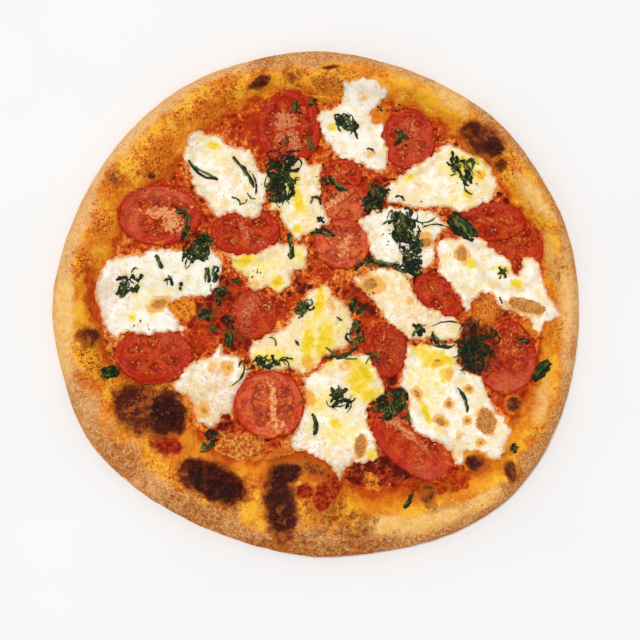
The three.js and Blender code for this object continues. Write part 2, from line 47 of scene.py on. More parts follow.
import bpy
import numpy as np
from mathutils import Vector
from mathutils.bvhtree import BVHTree
from mathutils.geometry import delaunay_2d_cdt

MM = 0.001  # sizes below are in millimetres, and Blender's unit is the metre
scene = bpy.context.scene

# %% [markdown]
# ## The camera
# It looks straight down from well above, through a long lens, so the rim shows hardly any of its side.
# A flat, orthographic camera would show none of it, but then the other views would look drawn. The lens
# follows from how wide a strip should fill the picture at the height of the toppings.

# %% Camera
VIEW_CENTRE = (2.7, -9.6)
VIEW_PLANE = 10  # the height of the toppings
VIEW_WIDTH = 384  # of the strip that fills the picture
CAMERA_DISTANCE = 1200
SENSOR = 36

camera_data = bpy.data.cameras.new("camera")
camera_data.sensor_width = SENSOR
camera_data.lens = SENSOR * CAMERA_DISTANCE / VIEW_WIDTH
camera = bpy.data.objects.new("camera", camera_data)
camera.location = Vector((*VIEW_CENTRE, VIEW_PLANE + CAMERA_DISTANCE)) * MM
scene.collection.objects.link(camera)
scene.camera = camera
print("lens, mm:", round(camera_data.lens, 1))

# %% [markdown]
# ## Light and floor
# A studio's large soft source could be an area lamp, but one close by lights the near side of the rim
# more than the far side. So this is a distant lamp, of the kind called sun, made a few degrees wide. It
# stands high up and a little to the upper left, where it draws small highlights on what is wet and
# gives the rim its form. A pale sky fills the shadows. The Standard view transform keeps the colours of
# food as vivid as they are, where the default one would grey them.

# %% Light
LAMP_PLACE = (-320, 400, 2600)
LAMP_SPREAD = 8  # degrees of sky that the lamp fills; a wider lamp gives softer shadows
LAMP_STRENGTH = 1.71
SKY = (1.0, 0.99, 0.98)
SKY_STRENGTH = 0.55

lamp_data = bpy.data.lights.new("soft lamp", "SUN")
lamp_data.angle = np.radians(LAMP_SPREAD)
lamp_data.energy = LAMP_STRENGTH
lamp = bpy.data.objects.new("soft lamp", lamp_data)
lamp.location = Vector(LAMP_PLACE) * MM
lamp.rotation_euler = (-lamp.location).to_track_quat("-Z", "Y").to_euler()
scene.collection.objects.link(lamp)

scene.world = bpy.data.worlds.new("sky")
scene.world.use_nodes = True
sky = scene.world.node_tree.nodes["Background"]
sky.inputs["Color"].default_value = (*SKY, 1)
sky.inputs["Strength"].default_value = SKY_STRENGTH
scene.view_settings.view_transform = "Standard"

# %% [markdown]
# ## Writing finishes as sums
# A finish is a tree of shader nodes. They could be added and linked one by one, but then the recipe is
# lost among the links. Two small classes let it be written like arithmetic: a `Value` wraps one output
# and adds a Math node for each sign, and `Finish` adds any other node in one call.

# %% Values that can stand in a sum
class Value:
    """One output of a shader node. `1 - mask` adds the Math node by itself."""

    def __init__(self, finish, output):
        self.finish = finish
        self.output = output

    def math(self, operation, *terms):
        return self.finish.node("ShaderNodeMath", {"operation": operation}, dict(enumerate(terms)))

    def __add__(self, other):
        return self.math("ADD", self, other)

    def __sub__(self, other):
        return self.math("SUBTRACT", self, other)

    def __rsub__(self, other):
        return self.math("SUBTRACT", other, self)

    def __mul__(self, other):
        return self.math("MULTIPLY", self, other)

    __radd__ = __add__
    __rmul__ = __mul__

    def about(self, reach):
        """A noise from 0 to 1 as one that swings about 0, which roughens the edge of a mask."""
        return (self - 0.5) * reach

    def step(self, low, high):
        """0 below one value, 1 above the other, and smooth in between."""
        sockets = {0: self, 1: low, 2: high}
        return self.finish.node("ShaderNodeMapRange", {"interpolation_type": "SMOOTHSTEP"}, sockets)

    def coat(self, colour, share):
        """This colour under a coat of another, which covers by a share from 0 to 1."""
        return self.finish.mix(self, colour, share)


# %% [markdown]
# Noise is asked for by the size of its blots in millimetres, because that can be measured on a real
# pizza. Each use of it names a kind, which moves it elsewhere, so that no two patterns fall together.

# %% A finish and its nodes
class Finish:
    """A material and the ways to add nodes to it."""

    def __init__(self, name):
        self.material = bpy.data.materials.new(name)
        self.material.use_nodes = True
        self.tree = self.material.node_tree
        self.shader = self.tree.nodes["Principled BSDF"]
        self.place = self.node("ShaderNodeTexCoord", output=3)

    def feed(self, socket, value):
        if isinstance(value, Value):
            self.tree.links.new(value.output, socket)
        elif socket.type == "RGBA":
            socket.default_value = (*value, 1)
        else:
            socket.default_value = value

    def node(self, kind, settings=None, sockets=None, output=0):
        node = self.tree.nodes.new(kind)
        for name, setting in (settings or {}).items():
            setattr(node, name, setting)
        for key, value in (sockets or {}).items():
            self.feed(node.inputs[key], value)
        return Value(self, node.outputs[output])

    def mask(self, name):
        """A value that the mesh holds at each of its points."""
        return self.node("ShaderNodeAttribute", {"attribute_name": name}, output=2)

    def masks(self, *names):
        return [self.mask(name) for name in names]

    def moved(self, kind):
        """The place, moved along by a different amount for each kind of noise."""
        offset = (0.31 * kind, 0.17 * kind, 0.53 * kind)
        return self.node("ShaderNodeVectorMath", {"operation": "ADD"}, {0: self.place, 1: offset})

    def noise(self, size, kind, detail=2, roughness=0.5):
        """Cloudy noise from 0 to 1 with blots of one size in millimetres."""
        sockets = {0: self.moved(kind), 2: 1 / (size * MM), 3: detail, 4: roughness}
        return self.node("ShaderNodeTexNoise", {}, sockets)

    def grains(self, size, kind, output=0):
        """Distance to the nearest of many scattered points, in shares of their spacing."""
        sockets = {0: self.moved(kind), 2: 1 / (size * MM)}
        return self.node("ShaderNodeTexVoronoi", {}, sockets, output)

    def lots(self, size, kind):
        """A number drawn at random for each of the cells round those points."""
        return self.grains(size, kind, output=1)

    def mix(self, first, second, share):
        settings = {"data_type": "RGBA"}
        return self.node("ShaderNodeMix", settings, {0: share, 6: first, 7: second}, 2)

    def bump(self, height, rise, under=None):
        """A normal that rises by that many millimetres where the height goes from 0 to 1."""
        sockets = {1: rise * MM, 3: height}
        if under:
            sockets[4] = under
        return self.node("ShaderNodeBump", {}, sockets)

    def surface(self, **sockets):
        """Feed the shader's sockets, named in small letters."""
        for name, value in sockets.items():
            self.feed(self.shader.inputs[name.replace("_", " ").title().replace("Ior", "IOR")], value)
        return self


# %% [markdown]
# The floor is plain and pale, and belongs to the studio and not to the pizza. It could be a box; one
# large face is enough, as only its top shows. It takes its first use of a finish: a faint mottling
# keeps it from being one flat colour.

# %% Floor
FLOOR_SIDE = 9000
FLOOR_DROP = 0.3  # the floor lies this far under the dough, so that the two don't flicker
FLOOR_GREY = (0.83, 0.835, 0.84)
FLOOR_PALE = (0.87, 0.875, 0.88)
FLOOR_BLOTS = 60

floor_finish = Finish("floor")
floor_tone = floor_finish.mix(FLOOR_GREY, FLOOR_PALE, floor_finish.noise(FLOOR_BLOTS, 1))
floor_finish.surface(base_color=floor_tone, roughness=0.6)
floor_mesh = bpy.data.meshes.new("floor")
reach = FLOOR_SIDE / 2 * MM
corners = [(sx * reach, sy * reach, -FLOOR_DROP * MM) for sx, sy in ((-1, -1), (1, -1), (1, 1), (-1, 1))]
floor_mesh.from_pydata(corners, [], [(0, 1, 2, 3)])
floor_mesh.materials.append(floor_finish.material)
floor = bpy.data.objects.new("floor", floor_mesh)
scene.collection.objects.link(floor)
print("floor side, m:", FLOOR_SIDE * MM)

# %% [markdown]
# ## Making a piece
# Each piece is a mesh of points and faces in millimetres. Numbers that differ from place to place,
# such as how brown the dough is, could be painted on an image. Here they are worked out in Python and
# kept on the points, where the finish reads them: the big drawing stays in plain code, and only fine
# grain is left to the shader.

# %% From points and faces to a piece of the pizza
def make_piece(name, points, faces, finish, replaces=(), masks=None):
    mesh = bpy.data.meshes.new(name)
    mesh.from_pydata((np.asarray(points) * MM).tolist(), [], faces)
    mesh.shade_smooth()
    for mask, values in (masks or {}).items():
        layer = mesh.attributes.new(mask, "FLOAT", "POINT")
        layer.data.foreach_set("value", np.broadcast_to(values, len(points)).astype(np.float32))
    mesh.materials.append(finish.material)
    piece = bpy.data.objects.new(name, mesh)
    scene.collection.objects.link(piece)
    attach(piece, "root")
    if replaces:
        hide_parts(*replaces)
    print(f"{name}: {sum(len(face) - 2 for face in faces)} triangles")


# %% [markdown]
# Nothing baked is even. `ripple` is the noise behind most of the unevenness here: random slopes on a
# lattice, blended smoothly, so that it has one size of bump and no steps. It is seeded, so the pizza
# comes out the same each time.

# %% Smooth noise and smooth steps
LATTICE = 256
lattice_turn = np.random.default_rng(5).uniform(0, 2 * np.pi, (LATTICE, LATTICE))
lattice_slope = np.stack([np.cos(lattice_turn), np.sin(lattice_turn)])


def ripple(x, y, size, kind):
    """Noise from about -1 to 1 with bumps of one size; each kind is another pattern."""
    u, v = np.asarray(x) / size + 17.3 * kind, np.asarray(y) / size + 9.7 * kind
    column, row = np.floor(u).astype(int), np.floor(v).astype(int)
    fu, fv = u - column, v - row

    def corner(right, up):
        sx, sy = lattice_slope[:, (row + up) % LATTICE, (column + right) % LATTICE]
        return sx * (fu - right) + sy * (fv - up)

    bu, bv = (t * t * t * (t * (6 * t - 15) + 10) for t in (fu, fv))
    low = corner(0, 0) * (1 - bu) + corner(1, 0) * bu
    high = corner(0, 1) * (1 - bu) + corner(1, 1) * bu
    return 1.4 * (low * (1 - bv) + high * bv)


def smooth(low, high, value):
    """0 below one value, 1 above the other, and smooth in between."""
    t = np.clip((value - low) / (high - low), 0, 1)
    return t * t * (3 - 2 * t)


# %% [markdown]
# Blisters, burnt spots, drops of oil and slices are all about oval, so one way of asking how far out in
# an oval a place is serves for each. A row of numbers is an oval: x, y, half its length, half its width
# and its turn in degrees. In a mask, a sixth number is its strength.

# %% Ovals
EDGE_NOISE = 50  # the kind of noise that makes their edges ragged


def oval_share(x, y, oval):
    """How far out a place is in an oval: 0 in its middle, 1 on its edge."""
    cx, cy, along, across, turn = oval[:5]
    angle = np.radians(turn)
    u = (x - cx) * np.cos(angle) + (y - cy) * np.sin(angle)
    v = (y - cy) * np.cos(angle) - (x - cx) * np.sin(angle)
    return np.hypot(u / along, v / across)


def spots(x, y, ovals, soft=0.5, ragged=0.25, size=5.0):
    """A mask of ovals with soft, ragged edges."""
    found = np.zeros(np.shape(x))
    edge = ragged * ripple(x, y, size, EDGE_NOISE) + 0.5 * ragged * ripple(x, y, size / 3, EDGE_NOISE + 1)
    for oval in ovals:
        strength = oval[5] if len(oval) > 5 else 1
        share = oval_share(x, y, oval) + edge
        found = np.maximum(found, strength * (1 - smooth(1 - soft / 2, 1 + soft / 2, share)))
    return found


# %% [markdown]
# ## The dough
# The rim is read round the pizza in 24 equal steps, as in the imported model: where its outer edge is,
# and where the sauce begins. Its section is a quarter round outside and a long slope inside. The
# packed crust has gentle swells on its crest; they are read back from it, so that this finer surface
# follows it.

# %% Sizes of the dough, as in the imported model
RIM_RADIUS = [
    158.2, 157.6, 155.6, 155, 152.2, 151, 151.9, 151.2, 152.6, 152.6, 153, 154.6, 158.2, 157.6, 159.2,
    155, 150.6, 149.6, 151.9, 154, 160, 164.6, 163.2, 160
]
SAUCE_RADIUS = [
    140, 138, 134, 133, 132, 128, 126, 128, 125, 119, 124, 126, 131, 129, 114, 106, 107, 96, 92, 116, 124,
    137, 136, 138
]
BASE_THICK = 5
BULGE_HEIGHT = 8  # where the rim is widest
CREST_AT = 0.42  # crest, as a share of the way from the outer edge to the sauce
SLOPE_END = 1.3
FOOT_INSET = 9
CREST_STEPS = 90

# Blisters: x, y, half length, half width, turn, rise.
BLISTERS = [
    (-97, -62, 25, 18, 5, 10), (-61, -106, 21, 11, -25, 6), (-8, -112, 25, 27, 0, 9),
    (24, -131, 11, 9, 0, 3.5), (69, -114, 12, 11, 0, 5), (96, -94, 9, 8, 0, 4), (115, -99, 7, 11, 0, 3),
    (119, -60, 8, 8, 0, 4.5), (102, -1, 8, 10, 0, 3.5), (104, 93, 14, 10, -35, 4),
    (7, 131, 12, 11, 0, 5.5), (-32, 132, 9, 5, 30, 2.5), (-122, 76, 8, 7, 0, 2.5),
    (-143, 20, 8, 10, 0, 2.5), (-136, -20, 9, 9, 0, 3), (-137, -42, 9, 7, 0, 2.5),
    (62, 130, 9, 8, 0, 2.5), (143, 50, 9, 9, 0, 2.5), (-86, 112, 10, 8, 30, 2), (132, -84, 9, 8, 0, 2.5)
]


def around(samples, angle):
    """A value read round the pizza, from samples at equal steps joined by a smooth closed curve."""
    samples = np.asarray(samples, float)
    count = len(samples)
    place = (np.asarray(angle) / (2 * np.pi) % 1) * count
    first = np.floor(place).astype(int)
    t = place - first
    a, b, c, d = (samples[(first + step) % count] for step in (-1, 0, 1, 2))
    return b + 0.5 * t * (c - a + t * (2 * a - 5 * b + 4 * c - d + t * (3 * (b - c) + d - a)))


# %% [markdown]
# A blister is a dome with a round top and a steep side, its outline a little ragged. Two of the small
# hollows on the lowest blister held back some sauce.

# %% Blisters
PITS = [(-6.5, -111, 4.5, 3.6, 0, 2), (7, -112, 5, 8.5, -30, 2.4), (-89, -84.5, 8, 5, -15, 1.5)]


def blister_rise(x, y):
    rise = np.zeros(np.shape(x))
    ragged = 0.09 * ripple(x, y, 9, 1) + 0.03 * ripple(x, y, 4, 25)
    wrinkles = np.abs(ripple(x, y, 6, 26)) - 0.5 * np.abs(ripple(x, y, 3, 27))
    for blister in BLISTERS:
        share = np.clip(oval_share(x, y, blister) + ragged, 0, 1)
        dome = (1 - share**2.6) ** 0.75
        rise = np.maximum(rise, (blister[5] + 1.1 * wrinkles * (1 - share)) * dome)
    for pit in PITS:
        share = np.clip(oval_share(x, y, pit) + ragged, 0, 1)
        rise = rise - pit[5] * (1 - share**2) ** 1.5
    return rise


def tree_of(node):
    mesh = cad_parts[node].data
    corners = [vertex.co for vertex in mesh.vertices]
    return BVHTree.FromPolygons(corners, [tuple(face.vertices) for face in mesh.polygons])


crust_tree = tree_of("crust")
crest_heights = []
for turn in np.arange(CREST_STEPS) / CREST_STEPS * 2 * np.pi:
    outer = around(RIM_RADIUS, turn)
    radius = outer - CREST_AT * (outer - around(SAUCE_RADIUS, turn))
    x, y = radius * np.cos(turn), radius * np.sin(turn)
    hit = crust_tree.ray_cast(Vector((x, y, 100)) * MM, Vector((0, 0, -1)))[0]
    plain = [(1 - oval_share(x, y, blister) ** 2) * blister[5] for blister in BLISTERS]
    crest_heights.append(hit.z / MM - max(0, *plain))
print("crest, lowest and highest, mm:", round(min(crest_heights), 1), round(max(crest_heights), 1))

# %% [markdown]
# `rim_share` says how far a place is across the rim, and the height follows from it. The same
# function serves the mesh, the sauce on top and everything that is laid on them.

# %% The dough's height at any place
def rim_share(x, y):
    angle = np.arctan2(y, x)
    outer = around(RIM_RADIUS, angle)
    return (outer - np.hypot(x, y)) / (outer - around(SAUCE_RADIUS, angle))


def rim_height(share, x, y):
    crest = around(crest_heights, np.arctan2(y, x)) + 0.5 * ripple(x, y, 15, 2)
    out = np.clip((CREST_AT - share) / CREST_AT, 0, 1)
    outside = BULGE_HEIGHT + (crest - BULGE_HEIGHT) * np.sqrt(1 - out**2)
    down = np.clip((share - CREST_AT) / (SLOPE_END - CREST_AT), 0, 1)
    slope = BASE_THICK + (crest - BASE_THICK) * (0.5 + 0.5 * np.cos(np.pi * down))
    return np.where(share < CREST_AT, outside, slope)


def dough_height(x, y):
    share = np.maximum(rim_share(x, y), 0)
    lumps = 0.45 * ripple(x, y, 6, 3) + 0.22 * ripple(x, y, 2.6, 4)
    return rim_height(share, x, y) + blister_rise(x, y) + lumps * smooth(0.02, 0.2, share)


# %% [markdown]
# ## How the dough browned
# Where the oven's heat reached first, the dough is brown or burnt: on the tops of the blisters. Next
# to the sauce, oil has soaked in and turned it golden. The outside stays matte and pale, dusted with
# semolina. A brush could paint all this on an image. Masks made of ovals do it in code, and each can be
# moved by itself.

# %% Where the dough is burnt and toasted
CHAR = [
    (-89, -65, 11, 13.5, 15, 1.05), (-110, -60, 11, 12, 15, 0.78), (-99, -68, 16, 10, 0, 0.72),
    (-102, -54, 14, 7, -5, 0.55), (-61, -106, 19.5, 9.5, -27, 1.3), (-21, -119, 9, 23, 5, 0.95),
    (-18, -101, 10.5, 6.5, 10, 1.0), (-1, -98, 9, 4, -20, 0.5), (98, 4, 4, 3, 0, 0.6),
    (93, 104, 7, 6, 0, 0.8), (106, 94, 7, 6, -30, 0.95), (111, 83, 4, 4, 0, 0.6),
    (100, 98, 11, 8, -40, 0.6), (-33, 132, 7, 3, 25, 0.85), (96, -95, 5.4, 4.6, 0, 0.85),
    (116, -100, 3.6, 5.6, 15, 0.75), (-136, -20, 6.5, 6, 0, 0.65), (-119, 75, 5, 3.6, 30, 0.4),
    (-98, 77, 2.6, 2.2, 0, 0.6), (9, 141, 5, 1.4, 10, 0.75), (-14, 137, 6, 5, 0, 0.35),
    (67, -113, 5.6, 5.2, 0, 0.45), (119, -60, 4.4, 4.4, 0, 0.75)
]
TOASTED = [
    (-98, -64, 20, 13, 5, 0.7), (-60, -108, 25, 14, -25, 0.8), (-20, -112, 15, 27, 5, 0.6),
    (0, -97, 18, 11, 0, 0.8), (6, -117, 14, 19, 20, 0.8), (24, -132, 12, 10, 10, 0.8),
    (68, -114, 8.6, 8.2, 0, 0.95), (96, -94, 7.4, 7, 0, 0.9), (116, -99, 5.4, 8.2, 10, 0.9),
    (119, -60, 5.6, 5.8, 0, 0.9), (-83, -1, 4, 4, 0, 0.5), (102, -1, 7, 9.5, 0, 0.75),
    (101, 97, 14, 11, -38, 0.85), (115, 80, 8, 12, 30, 0.25), (7, 132, 11, 9, 0, 0.75),
    (-33, 143, 9, 6, 10, 0.55), (-14, 137, 8, 7, 0, 0.4), (-120, 75, 7, 5, 30, 0.6),
    (-108, 90, 9, 6, 40, 0.35), (-140, 24, 9, 8, 0, 0.4), (-136, -20, 7.8, 7, 0, 0.85),
    (-137, -42, 7, 6, 0, 0.5), (143, 52, 6, 8, 0, 0.3), (145, 22, 6, 9, 0, 0.55),
    (146, -12, 6, 12, 0, 0.4), (134, -78, 8, 12, -25, 0.45), (100, -127, 14, 5, 30, 0.45),
    (123, -104, 8, 8, 0, 0.4), (128, -15, 5, 5, 0, 0.9), (38, 112, 6, 6, 0, 0.8),
    (62, 131, 7, 5, 0, 0.35), (-60, 136, 10, 5, 15, 0.2), (-66, 120, 19, 6, 24, 0.38),
    (-114, -94, 20, 11, -42, 0.55), (-75, -125, 32, 10, -28, 0.6), (-20, -146, 32, 8, -2, 0.72),
    (25, -146, 28, 7, 6, 0.68), (76, -138, 14, 5, 22, 0.4), (-144, -55, 8, 16, 15, 0.45),
    (118, 84, 22, 9, -50, 0.15), (14, -106, 13, 9, 0, 0.7)
]

# %% Where it is golden, pale, freckled and bright
GOLDEN = [
    (-52, 127, 34, 10, 12, 1), (-92, 100, 24, 11, 42, 1), (-118, 74, 20, 11, 60, 1),
    (-137, 8, 9, 30, 5, 0.9), (-128, -38, 12, 14, 0, 0.9), (-88, -94, 20, 11, -40, 1),
    (-38, -127, 8, 15, 10, 1), (20, -122, 28, 8, 5, 1), (48, -122, 14, 9, 0, 1),
    (28, 136, 24, 9, -5, 0.9), (66, 122, 22, 10, -30, 0.8), (88, 112, 14, 10, -40, 0.8),
    (125, 70, 10, 20, 25, 0.9), (138, 45, 8, 28, 10, 1), (141, -5, 9, 24, 0, 0.95),
    (138, -38, 9, 22, 0, 1), (130, -66, 11, 16, -15, 1), (100, -105, 18, 9, 35, 1)
]
PALE = [
    (149, 5, 5, 34, 0, 0.6), (-150, -8, 6, 30, 0, 0.9), (-149, 40, 5, 14, 15, 0.4),
    (82, 123, 12, 6, -38, 1), (130, 64, 16, 4.5, -52, 0.95), (42, -131, 14, 6, 4, 0.9),
    (145, 20, 5, 14, 0, 0.5), (134, -58, 5, 14, -12, 0.7), (140, 30, 4, 14, 5, 0.5),
    (101, -117, 14, 5, 35, 0.9), (-108, -88, 10, 8, -40, 0.2), (70, -129, 24, 6, 18, 0.9)
]
FRECKLED = [
    (10, -108, 14, 11, 0, 0.9), (-80, -2, 8, 8, 0, 1), (102, -1, 8, 9, 0, 1), (7, 132, 10, 8, 0, 1),
    (-64, 118, 22, 9, 24, 1), (-96, 87, 17, 12, 45, 1), (-118, 75, 9, 8, 40, 1),
    (-130, 55, 10, 16, 20, 0.6), (-70, 131, 30, 6, 26, 0.5), (-60, 136, 30, 7, 15, 0.3),
    (0, 134, 26, 10, 0, 0.6), (-140, 24, 9, 8, 0, 1), (-100, -52, 26, 16, 0, 0.9),
    (-100, -100, 40, 14, -42, 0.35), (-10, -96, 22, 10, 0, 1), (100, -125, 30, 10, 35, 0.3),
    (110, 84, 12, 14, 30, 0.8), (-132, -30, 12, 18, 0, 0.8)
]
BRIGHT = [
    (-81, -3, 6, 6, 0, 0.6), (-40, -123, 7, 6, 0, 1), (23, -121, 11, 5, 15, 0.8),
    (52, -121, 12, 5, 5, 0.8), (-43, 128, 9, 5, 15, 0.8), (-22, 134, 7, 4, 0, 0.8),
    (101, -104, 10, 6, 35, 1), (14, -117, 10, 4, 10, 0.9), (-98, -84, 7, 5, -30, 0.7),
    (-86, 102, 10, 4, 38, 0.8), (-108, 96, 7, 4, 50, 0.4), (-128, 62, 4, 8, 20, 0.4),
    (-76, 124, 8, 3, 28, 0.5), (72, 120, 16, 5, -32, 1), (124, 70, 5, 12, 32, 0.7),
    (-135, -28, 5, 8, 0, 0.8), (-104, -86, 9, 4, -30, 0.6), (54, 131, 10, 4, -15, 0.7),
    (20, 136, 9, 4, 0, 0.6), (112, 82, 4, 6, 20, 0.7), (142, 30, 5, 16, 5, 0.7), (118, -80, 7, 10, 10, 1),
    (140, -40, 5, 16, -5, 0.6), (-8, 134, 10, 4, 5, 0.7), (36, 130, 12, 4, -8, 0.8),
    (4, 125, 9, 4, 0, 0.6), (-141, -5, 5, 9, 0, 0.9), (-138, -33, 8, 6, 0, 1), (-141, 42, 5, 8, 10, 0.7),
    (10, 144, 16, 3, 0, 0.6), (96, -94, 9.4, 8.8, 0, 1), (116, -100, 7.6, 10.6, 10, 1),
    (68, -114, 11, 10.4, 0, 0.9), (-136, -20, 10, 9.4, 0, 1)
]

# %% Where it is stained, and how dark its outside is
# How far the oil of the sauce has run into the slope of the rim, round the pizza.
STAIN_REACH = [3, 4, 5, 5, 11, 12, 9, 12, 11, 22, 22, 16]
STAINED = [
    (118, -52, 11, 8, 0, 1.3), (85, -106, 6, 6, 0, 1.7), (62, -107, 15, 5, -12, 1.6),
    (129, -42, 5, 18, -8, 1.1), (100, 90, 13, 4, -40, 0.9), (5, -102, 16, 8, -30, 0.8),
    (-30, -96, 10, 6, 20, 0.6), (-66, 114, 18, 5, 24, 0.6), (-90, 92, 11, 8, 40, 0.7),
    (-118, 66, 6, 8, 30, 0.6), (-40, 114, 10, 6, 10, 0.7), (-18, 124, 18, 6, 0, 0.45),
    (-134, 8, 5, 20, 4, 0.95), (80, 108, 16, 6, -38, 0.4), (122, 62, 5, 14, 20, 0.25),
    (-84, -78, 4, 10, -35, 0.8), (-70, -88, 12, 4, -30, 0.5)
]
# How dark the outside is, round the rim; below 0 it is paler than elsewhere. Besides browning, it
# holds painted light and shade: paler on the left and upper left, darker at the bottom.
TAN_AND_SHADE = [
    -0.3, 1.2, 2.2, 1.6, 0.6, 0.6, 0.6, -0.3, -1, -1, -0.8, -0.6, -0.7, -0.2, 0.5, 0.6, 0.9, 1.5, 2, 1.5,
    0.9, 1.1, 1.4, 0.4
]

# %% Stains, and painted shade in the creases round the largest blisters
SHADED_CREASES = 10  # so many blisters of the list have a crease
CREASE_SHADE_WIDTH = 1.1


def rim_beyond(x, y):
    """How far outside the sauce a place on the rim is."""
    angle = np.arctan2(y, x)
    return (1 - rim_share(x, y)) * (around(RIM_RADIUS, angle) - around(SAUCE_RADIUS, angle))


def stain_mask(x, y):
    beyond = rim_beyond(x, y) + 3.4 * ripple(x, y, 8, 7) + 1.6 * ripple(x, y, 2.4, 8)
    stain = 1 - smooth(-3, around(STAIN_REACH, np.arctan2(y, x)), beyond)
    return np.maximum(stain, spots(x, y, STAINED, soft=1.2, ragged=0.5, size=6))


# A dark line round the base of each of the largest blisters: painted shade in the crease there.
def crease_shade_mask(x, y):
    crease_shade = np.zeros(np.shape(x))
    for blister in BLISTERS[:SHADED_CREASES]:
        gap = (oval_share(x, y, blister) + 0.09 * ripple(x, y, 9, 1) - 1) * min(blister[2:4])
        line = np.exp(-(gap / CREASE_SHADE_WIDTH) ** 2) * smooth(-0.3, 0.4, ripple(x, y, 14, 28))
        crease_shade = np.maximum(crease_shade, line)
    return crease_shade


# %% Masks of the dough
def dough_masks(x, y):
    share = rim_share(x, y)
    inner = smooth(0.12, 0.6, share + 0.18 * ripple(x, y, 13, 5) + 0.1 * ripple(x, y, 4, 6))
    golden = np.maximum(inner, spots(x, y, GOLDEN, soft=0.9, ragged=0.3, size=7)) * smooth(0.06, 0.3, share)
    pale = spots(x, y, PALE, soft=1, ragged=0.3)
    pits = spots(x, y, PITS, soft=2, ragged=0.4, size=4)
    return {"golden": np.clip(golden - 0.8 * pale, 0, 1), "pale": pale, "pits": pits,
            "toasted": spots(x, y, TOASTED, soft=0.9, ragged=0.35, size=5),
            "burnt": spots(x, y, CHAR, soft=0.8, ragged=0.22, size=7),
            "freckled": spots(x, y, FRECKLED, soft=1.2),
            "bright": spots(x, y, BRIGHT, soft=1.4, ragged=0.5, size=6),
            "stain": np.maximum(stain_mask(x, y), pits), "crease_shade": crease_shade_mask(x, y) * (1 - pits),
            "tan_and_shade": around(TAN_AND_SHADE, np.arctan2(y, x)) + 0.3 * ripple(x, y, 18, 29)}


# %% [markdown]
# The finish of the dough goes from pale to dark, one coat over another, in the order in which the oven
# made them. Two things in them are painted light: a dark line of painted shade in the creases round the
# largest blisters, and, mixed into the browning of the outside, painted light and shade that make it
# paler on the upper left and darker at the bottom. One picture of noise would do for all, but then every
# coat would have the same edges. So the noises are at the true size of what they stand for: swells of
# tone 25 mm wide, blotches of 3 to 5 mm, and grains of semolina under 1 mm. Each coat shows where its
# mask, roughened by noise, is high.

# %% Noise in the dough, and its outside
TAN, DEEP_TAN, PORE, DUST = (0.9, 0.5, 0.19), (0.55, 0.185, 0.034), (0.42, 0.13, 0.02), (0.96, 0.66, 0.31)


def dough_noise(finish):
    return SimpleNamespace(broad=finish.noise(24, 1), middle=finish.noise(9, 6, 3, 0.6),
                           blotch=finish.noise(4, 2, 4, 0.65), fine=finish.noise(1.8, 3, 3, 0.7),
                           grain=finish.noise(1.0, 7, 2, 0.7), sand=finish.lots(0.9, 4))


def outside_tone(finish, noise):
    # Round the rim the outside is darker or paler by a table that holds browning and also painted light and
    # shade: paler on the upper left, darker at the bottom.
    swell = noise.broad * 0.7 + noise.middle * 0.5 + finish.mask("tan_and_shade") * 0.22
    tone = finish.mix(TAN, DEEP_TAN, swell.step(0.42, 0.85))
    tone = tone.coat(PORE, (1 - noise.fine * 0.5 - noise.grain * 0.5).step(0.5, 0.62) * 0.7)
    return tone.coat(DUST, noise.sand.step(0.5, 0.7) * (0.2 + noise.grain * 0.5))


# %% The golden slope of the rim
GOLD, DEEP_GOLD, YELLOW = (0.93, 0.36, 0.016), (0.72, 0.17, 0.007), (0.95, 0.5, 0.04)
RUST, STRAW, BRIGHT_GOLD = (0.46, 0.08, 0.004), (1.0, 0.6, 0.13), (0.97, 0.5, 0.03)


def golden_tone(finish, noise):
    blotch, fine, grain = noise.blotch, noise.fine, noise.grain
    patchy = blotch * 0.5 + noise.middle * 0.5 + noise.broad * 0.3
    gold = finish.mix(GOLD, DEEP_GOLD, patchy.step(0.5, 0.74))
    clear = 1 - noise.broad * 0.3 - noise.middle * 0.5 - fine * 0.2
    gold = gold.coat(YELLOW, clear.step(0.48, 0.6) * (0.8 - finish.mask("freckled") * 0.2))
    gold = gold.coat(RUST, (fine * 0.7 + grain * 0.3).step(0.52, 0.64) * 0.6)
    gold = gold.coat(STRAW, (1 - grain * 0.5 - fine * 0.5).step(0.51, 0.63) * 0.5)
    bright = finish.mask("bright") + blotch.about(0.8) + fine.about(0.4)
    return gold.coat(BRIGHT_GOLD, bright.step(0.2, 0.9) * 0.85)


# %% Pale, grainy and toasted dough
CREAMY, BUFF, GRIT = (0.96, 0.62, 0.21), (0.87, 0.42, 0.08), (0.6, 0.12, 0.008)
TOAST, DARK_TOAST = (0.46, 0.12, 0.014), (0.19, 0.036, 0.009)


def browned(finish, noise, tone):
    blotch, fine = noise.blotch, noise.fine
    freckled, toasted = finish.masks("freckled", "toasted")
    pale = finish.mix(CREAMY, BUFF, (blotch * 0.7 + fine * 0.4).step(0.45, 0.7))
    tone = tone.coat(pale, (finish.mask("pale") + blotch.about(0.6)).step(0.1, 0.9) * 0.85)
    grainy = freckled * (fine * 0.5 + noise.grain * 0.3 + blotch * 0.3).step(0.54, 0.64)
    tone = tone.coat(GRIT, grainy * 0.8)
    toast = (toasted + blotch.about(0.9) + fine.about(1.3)).step(0.25, 1.05)
    brown = finish.mix(TOAST, DARK_TOAST, (blotch * 0.5 + fine * 0.5).step(0.45, 0.62))
    return tone.coat(brown, toast * toasted.step(0, 0.4))


# %% Oil and sauce that ran into the dough
OIL_STAIN, LIGHT_STAIN = (0.6, 0.09, 0.005), (0.93, 0.34, 0.016)
SAUCE_STAIN, THIN_STAIN = (0.34, 0.01, 0.002), (0.72, 0.085, 0.006)
WINE, LIGHT_WINE = (0.17, 0.004, 0.003), (0.52, 0.03, 0.008)


